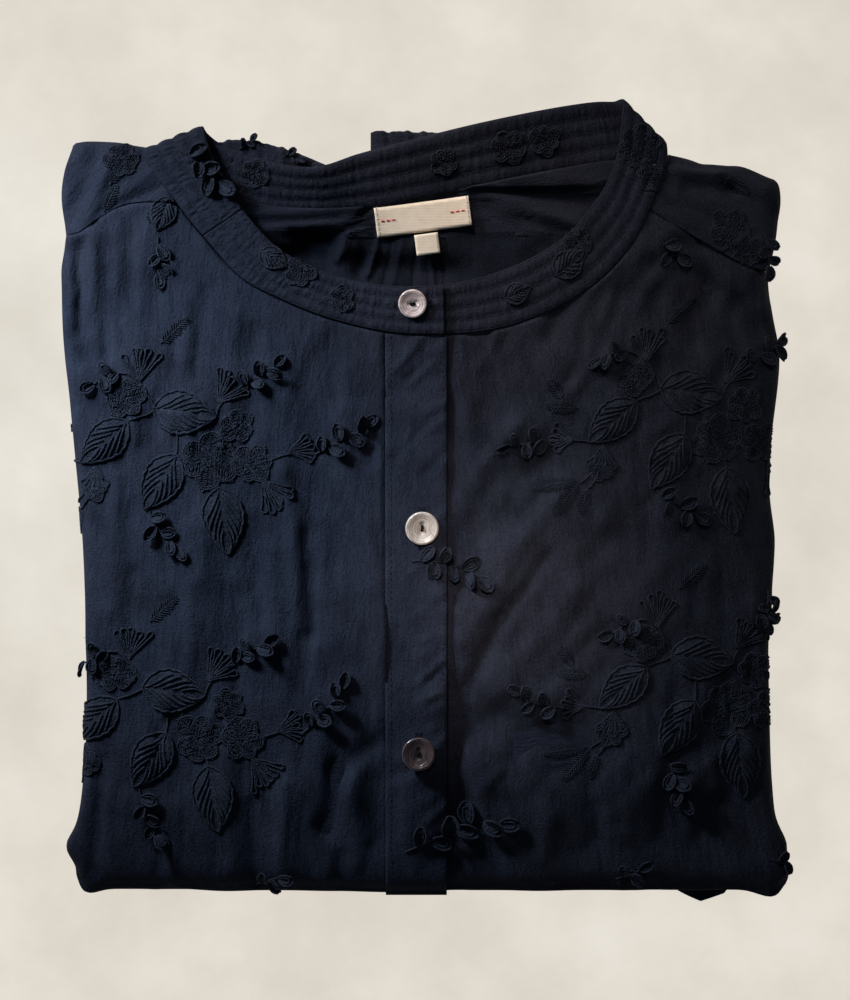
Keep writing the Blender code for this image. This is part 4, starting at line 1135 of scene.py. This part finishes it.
def work_petal(root, heading, length):
    """A loose oval petal, a little cupped and tipped to one side, with a corded rim and an inner cord."""
    found = on_cloth(*(root * MM))
    if found is None:
        return
    base, normal = found
    ahead = heading_vector(heading).to_3d()
    ahead = (ahead - normal * ahead.dot(normal)).normalized()
    aside = normal.cross(ahead)
    width = length * worked.uniform(0.62, 0.78)
    tilt = worked.gauss(0, 0.30)
    wrap = worked.uniform(0.75, 1.35)
    rise = worked.uniform(0.2, 1.3)
    along = [i / 7 for i in range(8)]
    across = [j / 4 - 1 for j in range(9)]

    def spot(t, s, over=0.0):
        half = width / 2 * math.sin(math.pi * (0.07 + 0.83 * t)) ** 0.7
        off = half * math.sin(s * wrap) / math.sin(min(wrap, math.pi / 2))
        up = 0.5 + rise * t + half * (1 - math.cos(s * wrap)) + (abs(tilt) * half + tilt * off) + over
        up += 0.5 * max(t - 0.6, 0)
        return base + (ahead * (length * t) + aside * off + normal * up) * MM

    grid_on(petal_bm, [[spot(t, s) for s in across] for t in along])
    rim = [spot(i / 6, -1) for i in range(7)] + [spot(1, s / 2) for s in range(-1, 2)]
    rims.add([*rim, *(spot(i / 6, 1) for i in range(6, -1, -1))])
    inner = [spot(0.12 + 0.10 * i, -0.45, 0.3) for i in range(7)] + [spot(0.80, 0, 0.3)]
    rims.add([*inner, *(spot(0.12 + 0.10 * i, 0.45, 0.3) for i in range(6, -1, -1))], taper=0.3)


def work_buds(x, y, heading, bend, count, length):
    """Loose petals to both sides of a stalk in turn, and one at its end."""
    turn = heading
    spot = Vector((x, y))
    stalk = [spot.copy()]
    for i in range(count):
        turn += bend / count + worked.gauss(0, 8)
        spot = spot + heading_vector(turn) * length * worked.uniform(0.50, 0.68)
        stalk.append(spot.copy())
        side = -1 if i % 2 else 1
        splay = side * worked.uniform(36, 84) if i < count - 1 else worked.uniform(-15, 15)
        work_petal(spot, turn + splay, length * worked.uniform(0.82, 1.05))
    stitches.lay([point * MM for point in smooth_route(stalk, 1.2)], lift=1.0)


def jitter(reach):
    return Vector((worked.uniform(-reach, reach), worked.uniform(-reach, reach)))


def work_fan(x, y, heading, length, count):
    """Stamens that spread from one root, each a long loop that ends in a small ring."""
    for i in range(count):
        turn = heading + (i - (count - 1) / 2) * 88 / count + worked.gauss(0, 3)
        ahead, aside = ways(turn)
        reach = length * worked.uniform(0.82, 1.08)
        ring = worked.uniform(1.05, 1.4)
        root = Vector((x, y))
        loop = [root + ahead * reach * k / 5 + aside * (0.34 + 0.06 * k) for k in range(5)]
        centre = root + ahead * (reach + ring * 0.4)
        for k in range(9):
            angle = math.radians(125 - 250 * k / 8)
            loop.append(centre + (ahead * math.cos(angle) + aside * math.sin(angle)) * ring)
        loop += [root + ahead * reach * k / 5 - aside * (0.34 + 0.06 * k) for k in range(4, -1, -1)]
        stitches.lay([(point + jitter(0.12)) * MM for point in loop], lift=0.9)


def work_fern(x, y, heading, length, half_width):
    """A line with close slanted stitches to both sides of it, longest a third of the way along."""
    ahead = heading_vector(heading)
    root = Vector((x, y))
    count = round(length / 1.2)
    stitches.lay([(root + ahead * length * i / 8) * MM for i in range(9)], lift=0.6, taper=0.5)
    for i in range(1, count + 1):
        t = i / count
        swell = math.sin(math.pi * (0.16 + 0.78 * t)) + 0.15
        reach = half_width * 1.25 * swell * worked.uniform(0.85, 1.15)
        for side in (-1, 1):
            slant = heading_vector(heading + side * 50)
            start = root + ahead * (length * t)
            fillings.lay([(start + slant * reach * k / 2) * MM for k in range(3)], lift=0.9, taper=0.4)


def work_flower(x, y, turn, radius, petals=6):
    """A flat flower: each petal is two columns of close slanted stitches, with a thick stitched edge."""
    for i in range(petals):
        ahead, aside = ways(turn + 360 * i / petals + worked.gauss(0, 8))
        reach = radius * worked.uniform(0.88, 1.18)
        broad = reach * worked.uniform(0.38, 0.48)
        rows = round(reach / 0.92)
        for k in range(1, rows + 1):
            t = (k - 0.2) / rows
            half = broad * math.sin(math.pi * min(0.12 + 0.74 * t, 1)) ** 0.8
            middle = Vector((x, y)) + ahead * (reach * t)
            for side in (-1, 1):
                slant = (aside * side + ahead * worked.uniform(0.30, 0.75)).normalized()
                pieces = 1 if half < 2.2 else 2
                for m in range(pieces):
                    near = 0.12 + half * m / pieces
                    far = half * (m + 0.88) / pieces
                    ends = [middle + slant * near + jitter(0.15), middle + slant * far + jitter(0.15)]
                    ends.insert(1, (ends[0] + ends[1]) / 2)
                    work = stitches if m == pieces - 1 and k % 2 else fillings
                    work.lay([end * MM for end in ends], lift=worked.uniform(0.5, 1.0), taper=0.35)
        for over in (0, 0.9):  # two cords round its edge
            edge = []
            for k in range(9):
                angle = math.radians(-104 + 26 * k)
                out = ahead * math.cos(angle) + aside * math.sin(angle)
                middle = Vector((x, y)) + ahead * (reach * 0.60)
                edge.append(middle + out * (reach * 0.42 - over) + jitter(0.2))
            route = smooth_route(edge, 0.8)
            (fillings if over else stitches).lay([place * MM for place in route], lift=0.9, taper=0.2)


for spray_x, spray_y in SPRAYS:
    for x, y, *rest in LEAVES:
        work_leaf(spray_x + x, spray_y + y, *rest)
    for rows, work in ((FANS, work_fan), (FERNS, work_fern), (BUDS, work_buds), (FLOWERS, work_flower)):
        for x, y, *rest in rows:
            work(spray_x + x, spray_y + y, *rest)
    for stem in STEMS:
        route = smooth_route([(spray_x + x, spray_y + y) for x, y in stem], 1.5)
        stitches.lay([(point + jitter(0.15)) * MM for point in route], lift=0.6)
for rows, work in (
    (LONE_BUDS, work_buds),
    (LONE_LEAVES, work_leaf),
    (LONE_FLOWERS, work_flower),
    (LONE_FERNS, work_fern),
):
    for row in rows:
        work(*row)

for name, bm in (("leaves", leaf_bm), ("petals", petal_bm)):
    piece = add_piece("embroidered_" + name, mesh_of(bm, "embroidered_" + name), thread)
    solidify = piece.modifiers.new("Cloth", "SOLIDIFY")
    solidify.thickness = 0.3 * MM
    solidify.offset = 0

# Sewing. Fine dark thread: rows of running stitches along the neck band's channels and down both sides of
# the placket, and buttonholes worked in close straight stitches under the buttons.
STITCH = 1.7 * MM
STITCH_GAP = 0.9 * MM
SEWN_ABOVE = 0.1  # mm
sewing_thread = thread_finish("sewing_thread", (0.008, 0.011, 0.020, 1), (0.020, 0.026, 0.044, 1))
sewing = Threadwork("sewing", 0.17 * MM, sewing_thread)


def sew_along(spots):
    """Running stitches along a close row of places, each a little above the cloth."""
    pitch = STITCH + STITCH_GAP
    length = 0.0
    run = []
    for before, spot in zip(spots, spots[1:]):
        length += (spot - before).length
        if length % pitch < STITCH:
            run.append(spot)
        elif run:
            if len(run) > 1:
                sewing.add(run, taper=0.5)
            run = []


for name, start, end, rising, sizes in BANDS:
    count = round((end - start) / 0.024)
    stations = [start + (end - start) * i / count for i in range(count + 1)]
    for row in range(BAND_CHANNELS + 1):
        across = min(max(row / BAND_CHANNELS, 0.05), 0.95)
        for side in (-1, 1):
            sew_along(band_line(stations, across, rising, side * (BAND_THIN + SEWN_ABOVE * MM)))

PLACKET_LEFT, PLACKET_RIGHT = -14.7, 10.5
PLACKET_LOW, PLACKET_HIGH = -158.0, 69.0
for x in (PLACKET_LEFT + 1.8, PLACKET_RIGHT - 1.6):
    count = round((PLACKET_HIGH - PLACKET_LOW) / 0.4)
    line = []
    for i in range(count + 1):
        found = on_cloth(x * MM, (PLACKET_LOW + (PLACKET_HIGH - PLACKET_LOW) * i / count) * MM)
        if found:
            line.append(found[0] + found[1] * SEWN_ABOVE * MM)
    sew_along(line)

BUTTONHOLES = [(-4.0, 81.9, 0, 15.5), (-0.4, -11.8, 90, 17.5), (-1.7, -106.0, 90, 17.5)]
for x, y, heading, length in BUTTONHOLES:
    ahead, aside = ways(heading)
    count = round(length / 0.55)
    for i in range(count + 1):
        off = length * (i / count - 0.5)
        half = 1.25 if 0 < i < count else 1.5
        for side in (-1, 1):
            ends = [Vector((x, y)) + ahead * off + aside * side * reach for reach in (0.2, half)]
            sewing.lay([end * MM for end in ends], lift=1.2)

# Buttons. Shell, turned with a raised rim round a shallow dish, each with a short slot sunk in the dish
# and threads arched over it. The upper two are pale and the lowest is brown.
BUTTONS = {  # x, y, tilt and turn of the slot in degrees, pale and dark colours of the shell
    "button_1": (-3.8, 81.9, 6, 10, (0.74, 0.58, 0.53, 1), (0.34, 0.23, 0.21, 1)),
    "button_2": (0.0, -11.8, 3, 86, (0.62, 0.52, 0.44, 1), (0.36, 0.27, 0.22, 1)),
    "button_3": (-1.5, -106.0, 2, 82, (0.105, 0.062, 0.058, 1), (0.022, 0.014, 0.014, 1)),
}


def shell_finish(name, pale, dark):
    """Polished shell: wavy growth lines over streaky clouds of tone, and a pearly coat."""
    settings = {"Roughness": 0.28, "Coat Weight": 0.5, "Coat Roughness": 0.12}
    made, tree, shader = new_finish(name, settings)
    place = add_node(tree, "TexCoord")["Object"]
    growth = noise(tree, squeezed(tree, place, (1, 3.2, 1)), 150, 5, 0.6, 1.6)
    rings = add_node(
        tree,
        "TexWave",
        {"Vector": place, "Scale": 300, "Distortion": 1.5, "Detail": 2, "Detail Scale": 2},
        wave_type="RINGS",
        rings_direction="Z",
    )["Fac"]
    both = add_share(tree, rings, 0.22, growth)
    colour = blend(tree, spread(tree, both, 0.42, 0.78), dark, pale)
    colour_and_relief(tree, shader, colour, both, 0.0001)
    return made


def button_mesh(name, radius, height):
    """A button round its own middle: a turned profile, a raised rim round a shallow dish."""
    rim = radius * 0.16
    profile = [
        (0.0, height * 0.56),
        (radius * 0.52, height * 0.56),
        (radius * 0.66, height * 0.66),
        (radius - rim, height * 0.97),
        (radius - rim * 0.5, height),
        (radius - rim * 0.12, height * 0.86),
        (radius, height * 0.55),
        (radius - rim * 0.2, height * 0.16),
        (radius - rim, 0.0),
        (0.0, 0.0),
    ]
    bm = bmesh.new()
    verts = [bm.verts.new((across, 0, up)) for across, up in profile]
    edges = [bm.edges.new(pair) for pair in zip(verts, verts[1:])]
    bmesh.ops.spin(
        bm, geom=verts + edges, cent=(0, 0, 0), axis=(0, 0, 1), angle=math.tau, steps=64, use_merge=True
    )
    bmesh.ops.remove_doubles(bm, verts=bm.verts, dist=JOIN)
    return mesh_of(bm, name)


def cutter_mesh(slot_length, slot_width, depth):
    """A round-ended slot."""
    bm = bmesh.new()
    for side in (-1, 1):
        bmesh.ops.create_cone(
            bm,
            cap_ends=True,
            segments=20,
            radius1=slot_width / 2,
            radius2=slot_width / 2,
            depth=depth,
            matrix=Matrix.Translation((side * slot_length / 2, 0, 0)),
        )
    hull = bmesh.ops.convex_hull(bm, input=bm.verts)
    bmesh.ops.delete(bm, geom=[f for f in hull["geom_interior"] if f.is_valid], context="VERTS")
    mesh = bpy.data.meshes.new("slot")
    bm.to_mesh(mesh)
    bm.free()
    return mesh


button_thread = thread_finish("button_thread", (0.004, 0.004, 0.006, 1), (0.012, 0.012, 0.016, 1))
button_threads = Threadwork("button_threads", 0.26 * MM, button_thread)
for node, (x, y, tilt, turn, pale, dark) in BUTTONS.items():
    low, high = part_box(node)
    radius, height = (high[0] - low[0]) / 2, high[2] - low[2]
    shell = shell_finish(node, pale, dark)
    button = add_piece(node + "_shell", button_mesh(node, radius, height), shell)
    button.location = (x * MM, y * MM, low[2])
    button.rotation_euler = (math.radians(tilt), math.radians(-tilt), math.radians(turn))
    bpy.context.view_layer.update()
    slot_size = (radius * 0.42, radius * 0.30, height * 0.5)
    slot = new_object(node + "_slot", cutter_mesh(*slot_size))
    slot.matrix_world = button.matrix_world @ Matrix.Translation((0, 0, height * 0.56))
    cut = button.modifiers.new("Slot", "BOOLEAN")
    cut.operation = "DIFFERENCE"
    cut.object = slot
    fine = bpy.data.meshes.new_from_object(button.evaluated_get(bpy.context.evaluated_depsgraph_get()))
    button.modifiers.clear()
    button.data = fine
    bpy.data.objects.remove(slot)
    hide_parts(node)
    half = radius * 0.21
    for strand in (-1.3, -0.45, 0.45, 1.3):
        arch = []
        for k in range(9):
            s = 2 * k / 8 - 1
            up = height * 0.56 + (0.42 - 0.9 * s**4) * MM
            arch.append(button.matrix_world @ Vector((half * s, strand * 0.24 * MM, up)))
        button_threads.add(arch)

# Label. A woven satin label, sewn on at its ends, with short red stitches there and no lettering, and
# a small plain tab under it.
WHITE = (0.90, 0.74, 0.57, 1)
RED = (0.62, 0.05, 0.045, 1)
YARN_SCALE = 1600 / 6


def weave_finish(name, colour):
    """Close satin weave: fine yarns across, with a slight unevenness of shade."""
    made, tree, shader = new_finish(name, {"Roughness": 0.55, "Sheen Weight": 0.2})
    place = add_node(tree, "TexCoord")["Object"]
    yarn = add_node(
        tree, "TexWave", {"Vector": place, "Scale": YARN_SCALE, "Distortion": 1.2}, bands_direction="Y"
    )["Fac"]
    dull = (*(channel * 0.72 for channel in colour[:3]), 1)
    uneven = blend(tree, noise(tree, place, 300, 4), dull, colour)
    colour_and_relief(tree, shader, uneven, yarn, 0.00003)
    return made


label_weave = weave_finish("label_satin", WHITE)
for node, sizes in (("label", (0.040, 0.0125)), ("size_tab", (0.010, 0.010))):
    piece = add_piece(node + "_cloth", fine_mesh(node, 3), label_weave)
    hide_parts(node)

red_thread = thread_finish("red_thread", RED, (0.75, 0.10, 0.08, 1))
white_thread = thread_finish("white_thread", (0.45, 0.44, 0.40, 1), (0.6, 0.58, 0.53, 1))
LABEL_CENTRE = Vector((0.4, 119.3))
LABEL_TURN = 7.5
LABEL_REACH = 20.0
red_stitches = Threadwork("label_red_stitches", 0.32 * MM, red_thread)
label_sewing = Threadwork("label_sewing", 0.16 * MM, white_thread)
label_tree = tree_of(bpy.data.objects["label_cloth"].data)


def on_label(along, across):
    """A place on the label, from its centre in mm."""
    ahead, aside = ways(LABEL_TURN)
    spot = straight_below(label_tree, *((LABEL_CENTRE + ahead * along + aside * across) * MM))[0]
    return spot and spot + Vector((0, 0, 0.12 * MM))


for side in (-1, 1):
    for k in range(3):
        start = side * (LABEL_REACH - 2.2 - k * 2.3)
        ends = [on_label(start - side * 1.5 * m / 2, 0.4) for m in range(3)]
        red_stitches.add([end for end in ends if end], taper=0.4)
    for k in range(6):
        across = -5.0 + 2.0 * k
        ends = [on_label(side * (LABEL_REACH - 0.9), across + m * 1.2 / 2) for m in range(3)]
        label_sewing.add([end for end in ends if end])

# Surface. A plain pale painted floor, slightly uneven in tone and far lighter than the cloth. It glows a
# little, so that it is as bright all over as the photograph's. It isn't part of the garment.
FLOOR_DULL = (0.68, 0.63, 0.55, 1)
FLOOR_BRIGHT = (0.79, 0.745, 0.67, 1)
floor_mesh = bpy.data.meshes.new("floor")
bm = bmesh.new()
bmesh.ops.create_grid(bm, x_segments=2, y_segments=2, size=3)
bm.to_mesh(floor_mesh)
bm.free()
floor = new_object("floor", floor_mesh)
floor.location.z = -0.0003
settings = {
    "Roughness": 0.9,
    "Specular IOR Level": 0.1,
    "Base Color": (0.03, 0.0285, 0.025, 1),
    "Emission Strength": 1.01,
}
floor_finish, tree, shader = new_finish("pale_floor", settings)
place = add_node(tree, "TexCoord")["Object"]
tone = spread(tree, noise(tree, place, 14, 7, 0.6), 0.35, 0.68)
colour = blend(tree, tone, FLOOR_DULL, FLOOR_BRIGHT)
tree.links.new(colour, shader.inputs["Emission Color"])
floor_mesh.materials.append(floor_finish)

# Light and camera. A large soft lamp rakes over the cloth from the upper left. Four small ones stand for
# the patches that a window throws: on the left side, beside the placket, in the neck and on the far
# front. The camera looks straight down, as in the photograph.
LIGHTS = [  # name, kind, size, power, colour, place, where it aims, and the angle of its cone
    ("key", "AREA", 0.24, 3.2, (0.97, 0.97, 1.0), (-0.48, 0.46, 0.28), (0.0, 0.0, 0.0), 0),
    ("window", "SPOT", 0.05, 15.0, (0.56, 0.79, 1.0), (-0.36, 0.30, 0.26), (-0.118, 0.022, 0.02), 41),
    ("pool", "SPOT", 0.03, 8.2, (1.0, 0.90, 0.82), (-0.05, 0.18, 0.50), (0.030, -0.040, 0.02), 15),
    ("neck", "SPOT", 0.04, 5.2, (1.0, 0.88, 0.76), (-0.10, 0.44, 0.30), (0.014, 0.132, 0.02), 22),
    ("far", "SPOT", 0.05, 2.3, (1.0, 0.96, 0.92), (0.16, 0.34, 0.45), (0.128, 0.040, 0.02), 34),
]
for name, kind, size, power, colour, spot, aim, cone in LIGHTS:
    lamp = bpy.data.lights.new(name, kind)
    lamp.energy = power
    lamp.color = colour
    if kind == "AREA":
        lamp.size = size
    else:
        lamp.shadow_soft_size = size
        lamp.spot_size = math.radians(cone)
        lamp.spot_blend = 1.0
    holder = new_object(name, lamp)
    holder.location = spot
    holder.rotation_euler = (Vector(aim) - Vector(spot)).to_track_quat("-Z", "Y").to_euler()

world = bpy.data.worlds.new("studio")
world.use_nodes = True
world.node_tree.nodes["Background"].inputs["Color"].default_value = (0.50, 0.72, 1.0, 1)
world.node_tree.nodes["Background"].inputs["Strength"].default_value = 0.062
bpy.context.scene.world = world
bpy.context.scene.view_settings.view_transform = "Standard"

CAMERA_HEIGHT = 1.10
PHOTO_HEIGHT = 0.420  # what the photograph's 1000 rows span on the garment
camera = bpy.data.cameras.new("camera")
camera.sensor_width = 36
camera.lens = camera.sensor_width * CAMERA_HEIGHT / PHOTO_HEIGHT
eye = new_object("camera", camera)
eye.location = (0.00126, 0, CAMERA_HEIGHT + 0.02)
bpy.context.scene.camera = eye
